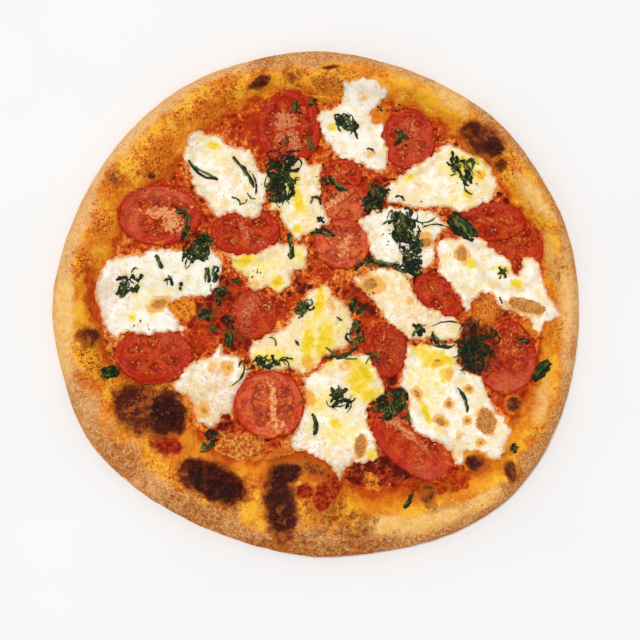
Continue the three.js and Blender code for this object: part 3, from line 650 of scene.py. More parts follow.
def stained(finish, noise, tone):
    blotch, fine = noise.blotch, noise.fine
    stain = finish.mask("stain") + fine.about(0.8) + blotch.about(0.5)
    mottled = finish.mix(OIL_STAIN, LIGHT_STAIN, (blotch * 0.7 + fine * 0.4).step(0.42, 0.66))
    tone = tone.coat(mottled, stain.step(0.1, 0.55) * 0.8)
    red = finish.mix(SAUCE_STAIN, THIN_STAIN, (fine * 0.5 + blotch * 0.6).step(0.48, 0.7))
    tone = tone.coat(red, stain.step(0.55, 1.0) * 0.9)
    hollow = (finish.mask("pits") + blotch.about(0.8) + fine.about(0.6)).step(0.1, 0.9)
    wine = finish.mix(WINE, LIGHT_WINE, (fine * 0.4 + blotch * 0.6).step(0.42, 0.62))
    return tone.coat(wine, hollow * 0.8)


# %% Freckles, and painted shade in the creases
FRECKLE, DARK_FRECKLE, CREASE_SHADE = (0.6, 0.11, 0.008), (0.24, 0.032, 0.006), (0.36, 0.06, 0.008)


def speckled(finish, noise, tone):
    freckled, golden = finish.masks("freckled", "golden")
    where = freckled.step(0, 0.4)
    patches = (noise.middle * 0.6 + noise.blotch * 0.4 + freckled * 0.1).step(0.48, 0.62) * where * golden
    speck = noise.fine * 0.6 + noise.grain * 0.4 + patches * 0.09
    tone = tone.coat(FRECKLE, speck.step(0.55, 0.63) * where * 0.9)
    tone = tone.coat(DARK_FRECKLE, speck.step(0.63, 0.69) * where)
    # A dark line of painted shade in the creases round the largest blisters.
    return tone.coat(CREASE_SHADE, finish.mask("crease_shade") * noise.fine.step(0.35, 0.6) * 0.7)


# %% Char on the tops of the blisters
SINGED, PLUM, DARK_PLUM = (0.44, 0.1, 0.01), (0.36, 0.072, 0.013), (0.1, 0.017, 0.008)
EMBER, BLACK, BROWN_BLACK = (0.74, 0.25, 0.035), (0.022, 0.005, 0.004), (0.12, 0.018, 0.008)


def charred(finish, noise, tone):
    middle, blotch, fine = noise.middle, noise.blotch, noise.fine
    freckled, burnt = finish.masks("freckled", "burnt")
    uneven = middle.about(0.9) + blotch.about(0.8) + fine.about(0.35 + freckled * 1.3)
    scorched = burnt + uneven * burnt.step(0, 0.4)
    tone = tone.coat(SINGED, scorched.step(0.0, 0.35) * 0.9 * burnt.step(0, 0.1))
    plum = finish.mix(PLUM, DARK_PLUM, (fine * 0.25 + blotch * 0.4 + middle * 0.35).step(0.38, 0.56))
    tone = tone.coat(plum, scorched.step(0.25, 0.65))
    spark = (fine * 0.6 + noise.grain * 0.4).step(0.53, 0.62) * scorched.step(0.1, 0.4)
    tone = tone.coat(EMBER, spark * (0.25 + freckled * 0.6))
    char = finish.mix(BLACK, BROWN_BLACK, (blotch * 0.4 + middle * 0.3 + fine * 0.3).step(0.46, 0.62))
    return tone.coat(char, scorched.step(0.6, 0.95))


# %% Finish of the dough
def crust_tone(finish, noise):
    golden = finish.mask("golden") + noise.blotch.about(0.4) + noise.fine.about(0.4)
    tone = outside_tone(finish, noise).coat(golden_tone(finish, noise), golden.step(0.15, 0.85))
    for coat in (browned, stained, speckled, charred):
        tone = coat(finish, noise, tone)
    return tone


def dough_finish():
    finish = Finish("baked dough")
    noise = dough_noise(finish)
    bumps = finish.bump(noise.grain, 0.25)
    bumps = finish.bump(noise.fine, 0.45, bumps)
    bumps = finish.bump(noise.blotch, 1.2, bumps)
    gloss = 0.75 - finish.mask("golden") * 0.3
    return finish.surface(base_color=crust_tone(finish, noise), roughness=gloss, normal=bumps,
                          specular_ior_level=0.06)


baked_dough = dough_finish()
print("nodes in the finish of the dough:", len(baked_dough.tree.nodes))

# %% [markdown]
# The mesh of the dough is a set of rings, from the middle of the flat underside out, round the foot of
# the rim, over the crest and in again to the middle. The rings lie close together on the rim, where the
# dough shows, and far apart under the sauce.

# %% Rings of points joined into a skin
def ring_faces(rings, steps):
    """Quads between rings of points that follow each other, each ring `steps` long."""
    here = np.arange(steps)
    after = (here + 1) % steps
    band = np.c_[here, after, after + steps, here + steps]
    return (band[None] + steps * np.arange(rings - 1)[:, None, None]).reshape(-1, 4).tolist()


def closing_fan(ring, steps, middle):
    return [(ring * steps + i, ring * steps + (i + 1) % steps, middle) for i in range(steps)]


# %% Where the rings of the dough lie
DOUGH_STEPS = 960
UNDER_SHARES = [0.3, 0.6, 0.85, 0.96]
FOOT_ROWS = 8
OUTER_ROWS = 26
SLOPE_ROWS = 46
HIDDEN_SHARES = [0.9, 0.6, 0.3]

turn = np.arange(DOUGH_STEPS) / DOUGH_STEPS * 2 * np.pi
outer = around(RIM_RADIUS, turn) + 0.35 * ripple(np.cos(turn), np.sin(turn), 0.06, 9)
width = outer - around(SAUCE_RADIUS, turn)
rows = []  # each is a radius and a height; None where the height follows from the place
for share in UNDER_SHARES:
    rows.append((share * (outer - FOOT_INSET), 0 * turn))
for t in np.linspace(0, np.pi / 2, FOOT_ROWS, endpoint=False):
    rows.append((outer - FOOT_INSET * (1 - np.sin(t)), 0 * turn + BULGE_HEIGHT * (1 - np.cos(t))))
for t in np.linspace(0, np.pi / 2, OUTER_ROWS, endpoint=False):
    rows.append((outer - CREST_AT * (1 - np.cos(t)) * width, None))
for share in np.linspace(CREST_AT, SLOPE_END, SLOPE_ROWS):
    rows.append((outer - share * width, None))
slope_foot = rows[-1][0]
for share in HIDDEN_SHARES:
    rows.append((share * slope_foot, None))
print("rings:", len(rows))

# %% The dough
points = []
for radius, height in rows:
    x, y = radius * np.cos(turn), radius * np.sin(turn)
    if height is None:
        share = (outer - radius) / width
        height = dough_height(x, y) if share.max() > 0.02 else BULGE_HEIGHT + 0 * turn
    points.append(np.c_[x, y, height])
middle = len(rows) * DOUGH_STEPS
points = np.concatenate([*points, [[0, 0, BASE_THICK], [0, 0, 0]]])
faces = ring_faces(len(rows), DOUGH_STEPS) + closing_fan(len(rows) - 1, DOUGH_STEPS, middle)
faces += [(b, a, middle + 1) for a, b, _ in closing_fan(0, DOUGH_STEPS, middle)]
make_piece("baked_dough", points, faces, baked_dough, ["crust"],
           dough_masks(points[:, 0], points[:, 1]))

# %% [markdown]
# ## A map of heights
# Toppings lie on what is already there. Two maps on a square grid, seen from above, keep its height:
# `ground` for the sauced dough and `top` for all that is laid so far.

# %% The maps
CELL = 0.5
MAP_REACH = 166
map_line = np.arange(-MAP_REACH, MAP_REACH + CELL / 2, CELL)
map_x, map_y = np.meshgrid(map_line, map_line)


def read_map(heights, x, y, corner=(-MAP_REACH, -MAP_REACH)):
    """The height between the cells of a map, blended from the four around a place."""
    rows, columns = heights.shape
    u = np.clip((np.asarray(x) - corner[0]) / CELL, 0, columns - 1.001)
    v = np.clip((np.asarray(y) - corner[1]) / CELL, 0, rows - 1.001)
    i, j = u.astype(int), v.astype(int)
    fu, fv = u - i, v - j
    near = heights[j, i] * (1 - fu) + heights[j, i + 1] * fu
    far = heights[j + 1, i] * (1 - fu) + heights[j + 1, i + 1] * fu
    return near * (1 - fv) + far * fv


def window(low, high):
    """The rows and columns of the maps inside a box."""
    first = [int((value + MAP_REACH) / CELL) for value in low]
    last = [int((value + MAP_REACH) / CELL) + 2 for value in high]
    return slice(first[1], last[1]), slice(first[0], last[0])


dough_map = dough_height(map_x, map_y)
print("dough, highest, mm:", round(dough_map.max(), 1))

# %% [markdown]
# ## Sheets with a ragged outline
# Sauce and cheese are spread sheets. Each is drawn as an outline of a few points, joined by a smooth
# curve and roughened. A Delaunay mesh fills it with points: close together where the sheet shows.

# %% Outlines
def smooth_outline(corners, step):
    """A closed curve through the corners, counter-clockwise, with points at even distances."""
    corners = np.asarray(corners, float)
    if np.sum(corners[:, 0] * np.roll(corners[:, 1], -1) - corners[:, 1] * np.roll(corners[:, 0], -1)) < 0:
        corners = corners[::-1]
    turns = np.linspace(0, 2 * np.pi, 40 * len(corners), endpoint=False)
    curve = np.c_[around(corners[:, 0], turns), around(corners[:, 1], turns)]
    lengths = np.hypot(*(np.roll(curve, -1, axis=0) - curve).T)
    walked = np.concatenate([[0], np.cumsum(lengths)])
    places = np.linspace(0, walked[-1], int(walked[-1] / step), endpoint=False)
    closed = np.concatenate([curve, curve[:1]])
    return np.c_[np.interp(places, walked, closed[:, 0]), np.interp(places, walked, closed[:, 1])]


def outward(outline):
    along = np.roll(outline, -1, axis=0) - np.roll(outline, 1, axis=0)
    return np.c_[along[:, 1], -along[:, 0]] / np.hypot(*along.T)[:, None]


def ragged_outline(corners, step, waves, kind):
    """The curve through the corners, moved in and out by waves of (size, reach)."""
    outline = smooth_outline(corners, step)
    shift = sum(reach * ripple(*outline.T, size, kind + n) for n, (size, reach) in enumerate(waves))
    return outline + outward(outline) * shift[:, None]


# %% Distance from an outline, and points inside it
def edge_distance(x, y, outline):
    """How far inside the outline each place is; negative outside."""
    x, y = np.asarray(x, float), np.asarray(y, float)
    within = np.zeros(x.shape, bool)
    nearest = np.full(x.shape, np.inf)
    for (ax, ay), (bx, by) in zip(outline, np.roll(outline, -1, axis=0)):
        dx, dy = bx - ax, by - ay
        t = np.clip(((x - ax) * dx + (y - ay) * dy) / (dx * dx + dy * dy), 0, 1)
        nearest = np.minimum(nearest, (x - ax - t * dx) ** 2 + (y - ay - t * dy) ** 2)
        if dy:
            within ^= ((ay > y) != (by > y)) & (x < ax + (y - ay) / dy * dx)
    return np.where(within, 1, -1) * np.sqrt(nearest)


def even_points(low, high, pitch):
    """Points in staggered rows that fill a box."""
    rows = np.arange(low[1], high[1], pitch * np.sqrt(0.75))
    x, y = np.meshgrid(np.arange(low[0], high[0], pitch), rows)
    x = x + (np.arange(len(rows)) % 2)[:, None] * pitch / 2
    return np.c_[x.ravel(), y.ravel()]


# %% A closed sheet between two surfaces
def triangles(outline, inner):
    """Points and counter-clockwise faces that fill an outline."""
    places = [Vector(place) for place in np.concatenate([outline, inner])]
    found = delaunay_2d_cdt(places, [], [list(range(len(outline)))], 1, 1e-6)
    flat = np.array([tuple(place) for place in found[0]])
    faces = np.array(found[2])
    a, b, c = (flat[faces[:, i]] for i in range(3))
    area = (b[:, 0] - a[:, 0]) * (c[:, 1] - a[:, 1]) - (c[:, 0] - a[:, 0]) * (b[:, 1] - a[:, 1])
    faces[area < 0] = faces[area < 0][:, ::-1]
    return flat, faces


def closed_sheet(outline, fine, coarse, top, bottom):
    """A sheet with many points above, few below, and a wall between; top and bottom give heights."""
    upper, upper_faces = triangles(outline, fine)
    lower, lower_faces = triangles(outline, coarse)
    count, ring = len(upper), len(outline)
    here = np.arange(ring)
    after = (here + 1) % ring
    wall = np.c_[here + count, after + count, after, here]
    points = np.concatenate([np.c_[upper, top(*upper.T)], np.c_[lower, bottom(*lower.T)]])
    return points, [*upper_faces.tolist(), *(lower_faces[:, ::-1] + count).tolist(), *wall.tolist()]


# %% [markdown]
# ## Where the toppings lie
# The outlines of the cheese and the ovals of the tomato slices come first, because the sauce needs few
# points where they hide it.

# %% Tomato slices and mozzarella patches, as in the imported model
# A slice: x, y, half length, half width, turn. The last one lies on the cheese.
SLICES = [
    (-94, 53, 25, 18, 0), (-42, 43.5, 21, 15, 0), (-16, 106, 19.5, 22, 0), (56, 99, 16, 18.5, 0),
    (15, 77, 13, 10, 0), (17, 60, 16, 12, 0), (16, 36, 17, 15, 0), (117, 33, 19, 21, 0),
    (105, 49.5, 21, 12, 0), (74, 5, 17, 10, -35), (114, -32, 19, 22, 0), (58, -84, 29, 16, -40),
    (-97, -31, 24, 17, 0), (-37, -6, 14, 15, 0), (42, -28, 13, 17, 0), (-28, -60.5, 21, 20.5, 0)
]
PATCHES = [
    [(-76, 102), (-70, 105), (-64, 102), (-57, 100), (-50, 95), (-43, 94), (-38, 91), (-34, 81),
     (-27, 76), (-29, 68), (-31, 60), (-36, 52), (-48, 54), (-60, 53), (-66, 61), (-73, 70), (-75, 80),
     (-80, 90), (-77, 97)],
    [(17, 133), (27, 134.5), (35, 134), (41, 130.5), (43, 126), (38, 121), (34, 115), (36, 109),
     (41, 108), (40, 101), (43, 93), (43.5, 85), (40, 79.5), (33, 81), (26, 84), (21, 87), (13, 88),
     (9, 95), (5, 98), (3, 106), (1, 112.5), (6, 117), (13, 119), (16, 124), (15.5, 128)],
    [(-17, 87), (-9, 87.5), (-4, 84), (3, 83), (3, 74), (2.5, 66), (4, 59), (9, 50.5), (4, 47),
     (-1, 44), (-6, 41), (-11, 38), (-15, 43), (-20, 49), (-22, 55), (-27.5, 57), (-25, 63), (-21, 68),
     (-21, 76)],
    [(80, 96), (75, 94.5), (69, 89), (61, 84), (55, 79.5), (49, 77), (43, 70), (44, 62), (52, 59),
     (62, 58), (72, 58), (79, 58), (84, 55), (90, 55), (96, 58.5), (103, 61), (108, 66), (109, 72),
     (106, 81), (102, 86), (95, 88.5), (90, 92), (85, 95)],
    [(26, 49), (32, 54.5), (38, 57), (46, 58), (56, 57), (65, 56), (73, 55), (76, 51), (80, 46.5),
     (75, 42), (72, 37), (72, 31), (70, 25), (63, 19), (57, 15), (50, 20), (43, 23), (37, 26),
     (33, 30), (31.5, 37), (30, 43)],
    [(22, 14), (28, 18), (35, 21), (44, 21), (52, 18), (57, 12), (60, 5), (66, -1), (76, -5.5),
     (86, -10), (88, -16), (85, -21), (76, -22), (66, -21), (58, -22), (54, -18), (47, -13),
     (41, -8), (38, -2), (33, 3), (28, 8)],
    [(55, -26), (62, -24), (74, -24.5), (85, -24), (86, -36), (94, -41), (100, -46), (103, -53),
     (108, -61), (114, -70), (117, -77), (113, -87), (107, -95), (102, -91), (95, -88.5), (90, -92),
     (88, -97), (83, -95), (81, -88), (74, -84), (66, -79), (59, -75), (56, -66), (56, -56),
     (51, -49), (53, -40), (54, -32)],
    [(73, 33), (78, 39.5), (90, 40), (98, 39.5), (104, 34), (112, 30), (117, 25), (119.5, 18),
     (122.5, 18), (123.5, 25), (127, 28), (134, 24), (137, 16), (139, 7), (143, 0), (145.5, -7),
     (138, -12), (133.5, -19), (128, -10), (120, -5), (111, -3), (107, 5), (102, 7), (96, 4),
     (90.5, -5), (86, 5), (80, 14), (75, 16), (74, 24)],
    [(-131, 15), (-128, 21), (-122, 27.5), (-113, 29.5), (-104, 30), (-97, 33), (-88, 33),
     (-78, 32), (-66, 36), (-60, 32), (-56, 21), (-60, 10), (-66, 4.5), (-78, 4), (-88, 0),
     (-84, -8), (-79, -14.5), (-90, -17), (-104, -18), (-112, -17), (-121, -19.5), (-128, -12),
     (-130, -3), (-132.5, 8)],
    [(-52, 30), (-45, 29.5), (-38, 30), (-30, 33), (-22, 37), (-14, 35.5), (-7.5, 37), (-5.5, 30),
     (-6, 22), (-14, 19), (-15.5, 13), (-19, 8), (-23, 7.5), (-29, 11), (-34, 7.5), (-39, 9),
     (-41, 15), (-48, 20), (-51, 26)],
    [(0, 10), (7, 11), (11, 5), (17, 1.5), (21, -5), (22, -14), (19, -25), (12, -29), (5, -32),
     (0, -38), (-6, -42), (-14, -39), (-24, -40), (-33, -39), (-39, -33), (-41, -27), (-36, -22),
     (-28, -18), (-19, -14), (-12, -7), (-7, 2), (-4, 8)],
    [(-6, -45), (1, -40), (9, -34), (16, -32), (24, -29.5), (32, -31), (35, -38), (40, -45),
     (41, -52), (38, -57.5), (33, -60), (32, -72), (35, -80), (37.5, -89), (36, -94), (24, -96),
     (18, -100), (14, -106.5), (9, -97), (3, -92.5), (-5, -89.5), (-15, -85), (-13, -76), (-9, -69),
     (-7, -60), (-6.5, -52)],
    [(-86, -49), (-81, -44), (-76, -37), (-69, -33), (-62, -31), (-60, -25.5), (-56, -25),
     (-54, -30), (-47, -32), (-42, -37), (-39, -41), (-44, -48), (-48, -57), (-50, -65), (-56, -68),
     (-62, -74), (-68, -72), (-73, -66), (-74, -60), (-78, -55)],
]

# %% Their outlines, and the part of the sauce that they hide
CHEESE_STEP = 0.75
CHEESE_WAVES = [(9, 1.0), (3.8, 1.4), (1.9, 0.8)]

patch_outlines = [ragged_outline(patch, CHEESE_STEP, CHEESE_WAVES, 60 + 3 * n)
                  for n, patch in enumerate(PATCHES)]
HIDE_MARGIN = 2.5
HALO = 7  # how far the cheese's fat has run into the sauce
hidden = np.zeros(map_x.shape, bool)
halo_map = np.zeros(map_x.shape)
for oval in SLICES:
    hidden |= oval_share(map_x, map_y, oval) < 1 - HIDE_MARGIN / oval[3]
for outline in patch_outlines:
    rows_columns = window(outline.min(axis=0) - HALO, outline.max(axis=0) + HALO)
    distance = edge_distance(map_x[rows_columns], map_y[rows_columns], outline[::2])
    hidden[rows_columns] |= distance > HIDE_MARGIN
    halo_map[rows_columns] = np.maximum(halo_map[rows_columns], smooth(-HALO, 0, distance))
print("share of the map under toppings:", round(hidden.mean(), 2))

# %% [markdown]
# ## The sauce
# It is a thin layer of crushed tomato with an uneven edge. Its pulp stands out as soft lumps of two
# sizes, and small bubbles of the dough lift it, with the dough shining through.

# %% The sauce's outline
SAUCE_MEAN_RADIUS = 125
SAUCE_STEP = 0.8
SAUCE_WAVES = [(16, 1.6), (6, 1.3), (2.4, 0.6)]

steps = int(2 * np.pi * SAUCE_MEAN_RADIUS / SAUCE_STEP)
turn = np.arange(steps) / steps * 2 * np.pi
radius = around(SAUCE_RADIUS, turn)
even = np.c_[radius * np.cos(turn), radius * np.sin(turn)]
shift = sum(reach * ripple(*even.T, size, 90 + n) for n, (size, reach) in enumerate(SAUCE_WAVES))
sauce_outline = even * (1 + shift / radius)[:, None]
print("points round the sauce:", len(sauce_outline))

# %% Height of the sauce
SAUCE_THICK = 1.7
SAUCE_OVER_BLISTER = 0.8
SAUCE_ROUND = 1.6  # how far in from its edge it has its full thickness


def pulp(x, y):
    """Lumps of crushed tomato: rounded tops between narrow gaps."""
    lumps = 1 - np.abs(ripple(x, y, 4.2, 11)) * 1.6
    crumbs = 1 - np.abs(ripple(x, y, 1.9, 12)) * 1.6
    return 0.7 * lumps + 0.36 * crumbs


def sauce_height(x, y, inside):
    edge = 1 - np.exp(-np.maximum(inside, 0) / SAUCE_ROUND)
    share = np.maximum(rim_share(x, y), 0)
    body = 0.5 * ripple(x, y, 14, 13) + SAUCE_THICK - 0.5 + pulp(x, y)
    dough = rim_height(share, x, y) + SAUCE_OVER_BLISTER * blister_rise(x, y)
    return dough + 0.1 + edge * body


# %% The maps with the sauce on them
COARSE = 4  # how far in the sauce a cell is, is worked out for every fourth one and spread

distance = edge_distance(map_x[::COARSE, ::COARSE], map_y[::COARSE, ::COARSE], sauce_outline)
sauce_inside = np.kron(distance, np.ones((COARSE, COARSE)))[:map_x.shape[0], :map_x.shape[1]]
sauce_inside = (sauce_inside + np.roll(sauce_inside, (COARSE // 2, COARSE // 2), (0, 1))) / 2
ground = np.where(sauce_inside > 0.5, sauce_height(map_x, map_y, sauce_inside), dough_map)
top = ground.copy()
print("sauce covers a share of the map:", round((sauce_inside > 0).mean(), 2))

# %% [markdown]
# Its colour goes from a deep red where it is thick to orange where oil or dough shows. `bare` marks
# the bubbles of dough under it, `roasted` what the oven darkened.

# %% Where the sauce is thin, oily, deep and roasted
BARE = [
    (-80, -2, 8, 8, 0, 1), (-49, -88, 20, 12, 5, 0.6), (102, -2, 9, 11.5, 0, 0.7),
    (119, -60, 6, 6.5, 0, 0.9), (114, -74, 7, 7, 40, 0.7), (96, -93, 10, 9, 0, 1),
    (69, -114, 13, 12, 0, 0.9), (22, -100, 8, 5, 0, 0.3), (-8, -110, 23, 25, 0, 1),
    (-97, -62, 25, 18, 5, 1), (-22, -98, 20, 10, 20, 0.9), (34, -108, 5, 8, 20, 0.6),
    (128, -15, 5, 5, 0, 0.8), (103, 93, 14, 11, -35, 1), (123, 64, 6, 5, 0, 0.5), (38, 112, 7, 7, 0, 0.8),
    (7, 131, 13, 12, 0, 0.8)
]
GRAINY = [
    (-49, -87, 18, 9, 5, 1), (-12, -92, 12, 4, -15, 0.5), (102, -2, 8, 9, 0, 0.5), (34, 8, 5, 8, 20, 0.4)
]
OILY = [
    (-104, 28, 12, 4, 10, 0.6), (-115, 48, 8, 12, 0, 0.5), (-58, 30, 10, 3, 0, 0.7),
    (-80, -2, 6, 6, 0, 0.8), (-30, -15, 10, 5, 20, 0.5), (20, 18, 10, 6, 20, 0.6),
    (104, -66, 5, 10, 30, 0.6), (120, 15, 3, 6, 0, 0.8), (-5, -20, 10, 6, 45, 0.5),
    (128, -30, 5, 14, 10, 0.5), (-120, -28, 8, 10, 0, 0.6), (40, -102, 10, 5, 0, 0.3),
    (-60, 42, 6, 8, 0, 0.3), (24, 92, 8, 6, 0, 0.3), (-12, -88, 10, 6, 0, 0.5)
]
DEEP = [
    (42, -101, 28, 10, 5, 1.2), (86, -103, 13, 7, 20, 1.1), (-52, -4, 16, 16, 0, 0.9),
    (-60, -72, 8, 8, 0, 0.8), (28, 6, 7, 14, 30, 0.9), (100, -25, 16, 14, 0, 1), (-16, 60, 8, 20, 0, 0.5),
    (-46, -20, 14, 10, 0, 0.6), (40, 68, 10, 8, 0, 0.7), (128, 44, 7, 16, 0, 0.5),
    (-125, -25, 8, 8, 0, 0.5), (44, -44, 5, 12, 0, 0.8)
]
ROASTED = [
    (-35, 18, 6, 3, 20, 0.4), (-48, -16, 9, 7, 0, 0.7), (-57, 8, 7, 8, 0, 0.7), (-66, -6, 8, 5, 0, 0.8),
    (-105, -16, 6, 3, 0, 0.5), (28, 8, 5, 5, 0, 0.5), (-60, -70, 6, 5, 0, 0.4), (97, -30, 13, 14, 0, 1),
    (96, -12, 10, 6, 0, 0.7), (-12, -84, 6, 4, 0, 0.7), (-80, 45, 5, 5, 0, 0.5), (72, 58, 6, 3, 0, 0.4),
    (-15, 85, 5, 4, 0, 0.4)
]

# %% Masks of the sauce
def sauce_masks(x, y):
    masks = dough_masks(x, y)
    bare = spots(x, y, BARE, soft=0.7, ragged=0.2, size=4)
    verge = smooth(-11, 1, rim_beyond(x, y) + 3 * ripple(x, y, 8, 7))
    filled = spots(x, y, PITS, soft=1.1, ragged=0.5, size=4)
    masks["stain"] = np.maximum(masks["stain"] * (1 - 0.65 * bare), filled)
    return {**masks, "halo": read_map(halo_map, x, y), "verge": verge,
            "bare": np.maximum(bare, smooth(0.55, 1, verge)),
            "deep": spots(x, y, DEEP, soft=1, ragged=0.4),
            "grainy": spots(x, y, GRAINY, soft=1, ragged=0.4),
            "oily": spots(x, y, OILY, soft=1, ragged=0.4, size=4),
            "roasted": spots(x, y, ROASTED, soft=1, ragged=0.4, size=3),
            "pulp": np.clip(0.5 + 0.6 * pulp(x, y), 0, 1)}


# %% [markdown]
# Sauce is wet and grainy: dark where it is deep, red on the lumps of pulp and darker in the gaps between
# them, which is painted shade, and orange where fat swims on it. Its bright grains are fat and painted
# highlights of the wet sauce. One red with some noise would look like paint, so streaks and these grains
# are coats of their own. Where bubbles of dough lift it, the finish of the dough comes through.

# %% Finish of the sauce
DEEP_RED, RED, ORANGE_RED = (0.1, 0.004, 0.001), (0.48, 0.032, 0.002), (0.74, 0.13, 0.005)
FAT_AND_GLINT, ROAST, LIGHT_ROAST = (0.95, 0.48, 0.1), (0.03, 0.02, 0.005), (0.15, 0.08, 0.014)
CRUST_BEAD, PALE_BEAD = (0.46, 0.05, 0.006), (0.85, 0.42, 0.07)


def sauce_tone(finish, broad, lump, fine):
    oily, bare, verge, halo, pulp, deep = finish.masks("oily", "bare", "verge", "halo", "pulp", "deep")
    # The height of the lumps of pulp also sets the colour: lighter on their tops and darker in the gaps
    # between them, which is painted shade.
    soft = broad * 0.4 + lump * 0.55 + pulp * 0.3 - deep * 0.1
    tone = finish.mix(DEEP_RED, RED, soft.step(0.56, 0.76))
    warm = oily * 0.22 + verge * 0.1 + halo * 0.12 - deep * 0.12
    streak = fine * 0.35 + lump * 0.45 + pulp * 0.2 + warm * 0.7
    tone = tone.coat(ORANGE_RED, streak.step(0.56, 0.74) * 0.9)
    # Bright orange grains: fat on the sauce, and painted highlights where it is wet.
    fat_and_glint = fine * 0.55 + lump * 0.25 + pulp * 0.2 + warm * 0.5
    tone = tone.coat(FAT_AND_GLINT, fat_and_glint.step(0.63, 0.75) * 0.9)
    roast = (finish.mask("roasted") * 0.5 + fine * 0.7 + lump * 0.2).step(0.68, 0.86)
    tone = tone.coat(finish.mix(ROAST, LIGHT_ROAST, lump.step(0.45, 0.6)), roast * 0.9)
    shows = (bare + fine.about(1.6) + lump.about(0.6)).step(0.25, 0.75)
    tone = tone.coat(crust_tone(finish, dough_noise(finish)), shows)
    bead = (finish.noise(1.8, 27, 3, 0.7) * 0.7 + fine * 0.3).step(0.44, 0.6)
    grainy = (finish.mask("grainy") + lump.about(0.8)).step(0.2, 0.8)
    return tone.coat(finish.mix(CRUST_BEAD, PALE_BEAD, bead), grainy * 0.85)


def sauce_finish():
    finish = Finish("tomato sauce")
    broad, lump, fine = finish.noise(14, 21), finish.noise(4.6, 22, 3, 0.6), finish.noise(1.5, 23, 3, 0.7)
    bumps = finish.bump(lump, 1.4, finish.bump(fine, 0.6))
    gloss = 0.14 + finish.mask("bare") * 0.5 + fine * 0.15
    return finish.surface(base_color=sauce_tone(finish, broad, lump, fine), roughness=gloss,
                          normal=bumps, specular_ior_level=0.07)


tomato_sauce = sauce_finish()

# %% [markdown]
# The sheet of sauce has its points close together where it shows and far apart under toppings. Evenly
# dense, it would take about twice as many triangles for the same look.

# %% The sauce
SAUCE_BOX = ((-145, -145), (145, 145))
SAUCE_PITCH = 0.75
SAUCE_HIDDEN_PITCH = 2.6
SAUCE_UNDER_PITCH = 6

shown, covered = even_points(*SAUCE_BOX, SAUCE_PITCH), even_points(*SAUCE_BOX, SAUCE_HIDDEN_PITCH)
shown = shown[read_map(hidden.astype(float), *shown.T) < 0.5]
covered = covered[read_map(hidden.astype(float), *covered.T) >= 0.5]
fine = np.concatenate([shown, covered])
fine = fine[read_map(sauce_inside, *fine.T) > -1]
fine = fine[edge_distance(*fine.T, sauce_outline[::3]) > 0.9]
coarse = even_points(*SAUCE_BOX, SAUCE_UNDER_PITCH)
coarse = coarse[read_map(sauce_inside, *coarse.T) > 4]


def sauce_top(x, y):
    inside = read_map(sauce_inside, x, y)
    inside[:len(sauce_outline)] = 0
    return sauce_height(x, y, inside)


def sauce_bottom(x, y):
    return np.maximum(read_map(dough_map, x, y) - 1, 1)


points, faces = closed_sheet(sauce_outline, fine, coarse, sauce_top, sauce_bottom)
make_piece("tomato_sauce", points, faces, tomato_sauce, ["sauce"],
           sauce_masks(points[:, 0], points[:, 1]))

# %% [markdown]
# ## How a soft piece settles
# A slice or a sheet of cheese doesn't follow every lump under it. It bridges the small gaps and hangs
# over the edge of what lies below. A cloth simulation could drop each piece in turn, at the cost of
# minutes. Instead, the height of the toppings is spread outwards by a few millimetres and softened, and
# the new piece goes on that.

# %% What a piece comes to rest on
BRIDGE = 3.5  # how far a soft piece reaches over a gap


def soften(heights, reach):
    """The mean over a square around each cell."""
    steps = max(1, round(reach / CELL))
    for axis in (0, 1):
        heights = sum(np.roll(heights, k, axis) for k in range(-steps, steps + 1)) / (2 * steps + 1)
    return heights


def resting(low, high):
    """A map of what a soft piece rests on inside a box, the map's corner, and its rows and columns."""
    margin = BRIDGE + 5
    rows, columns = window(np.asarray(low) - margin, np.asarray(high) + margin)
    standing = top[rows, columns] - ground[rows, columns]
    steps = round(BRIDGE / CELL)
    spread = standing
    for up in range(-steps, steps + 1):
        for right in range(-steps, steps + 1):
            if np.hypot(up, right) <= steps:
                spread = np.maximum(spread, np.roll(standing, (up, right), (0, 1)))
    spread = soften(soften(spread, 1.5), 1.5)
    below = soften(ground[rows, columns], 1.2) + np.maximum(spread, soften(standing, 0.7))
    return below, (map_line[columns.start], map_line[rows.start]), rows, columns


# %% [markdown]
# ## Tomato slices
# A slice shows a thin skin, a wall of firm flesh, and pockets of jelly with seeds between ribs that run
# to the core. Baking has let the pockets sink and the flesh go translucent. Where a slice was cut
# straight across, its pockets are a wave round it, with its own number of them; where they lie less
# evenly, they are ovals.

# %% Pockets of jelly and cores
# Pockets round the middle: how many, and the turn of the first. 0 where they are given one by one.
POCKETS = [0, 4, 0, 4, 4, 3, 0, 4, 4, 3, 0, 0, 6, 0, 4, 0]
POCKET_TURN = [0, 0.8, 0, 1.1, 0.4, 0.6, 0, 0.5, 0, 0.7, 0, 0, 0.6, 0, 0.5, 0]
OPEN_SIDE = {11: 45, 13: -15}  # the side, in degrees, where a slice was cut through its flesh
JELLY = [
    (-98, 46, 8, 5, -20), (-98, 60, 9, 4.5, 10), (-83, 61, 8, 4, -15), (-84, 45, 6, 5, 30),
    (-32.5, -59, 5.6, 14, 4), (-18.5, -59.5, 6, 12, -8), (-27, 116, 6, 8, 20), (-6, 116, 6, 8, -20),
    (-28, 100, 4, 10, 10), (-3, 98, 5, 10, -10), (11, 41, 6, 6, 0), (22, 42, 6, 5, 0), (25, 31, 5, 6, 0),
    (10, 28, 6, 5, 20), (106, -30, 9, 11, 0), (121, -30, 8, 11, 0), (113, -20, 12, 7, 0),
    (52, -72, 4, 6, -40), (68, -85, 6, 4, -30), (-30, 2, 5, 7, 0)
]
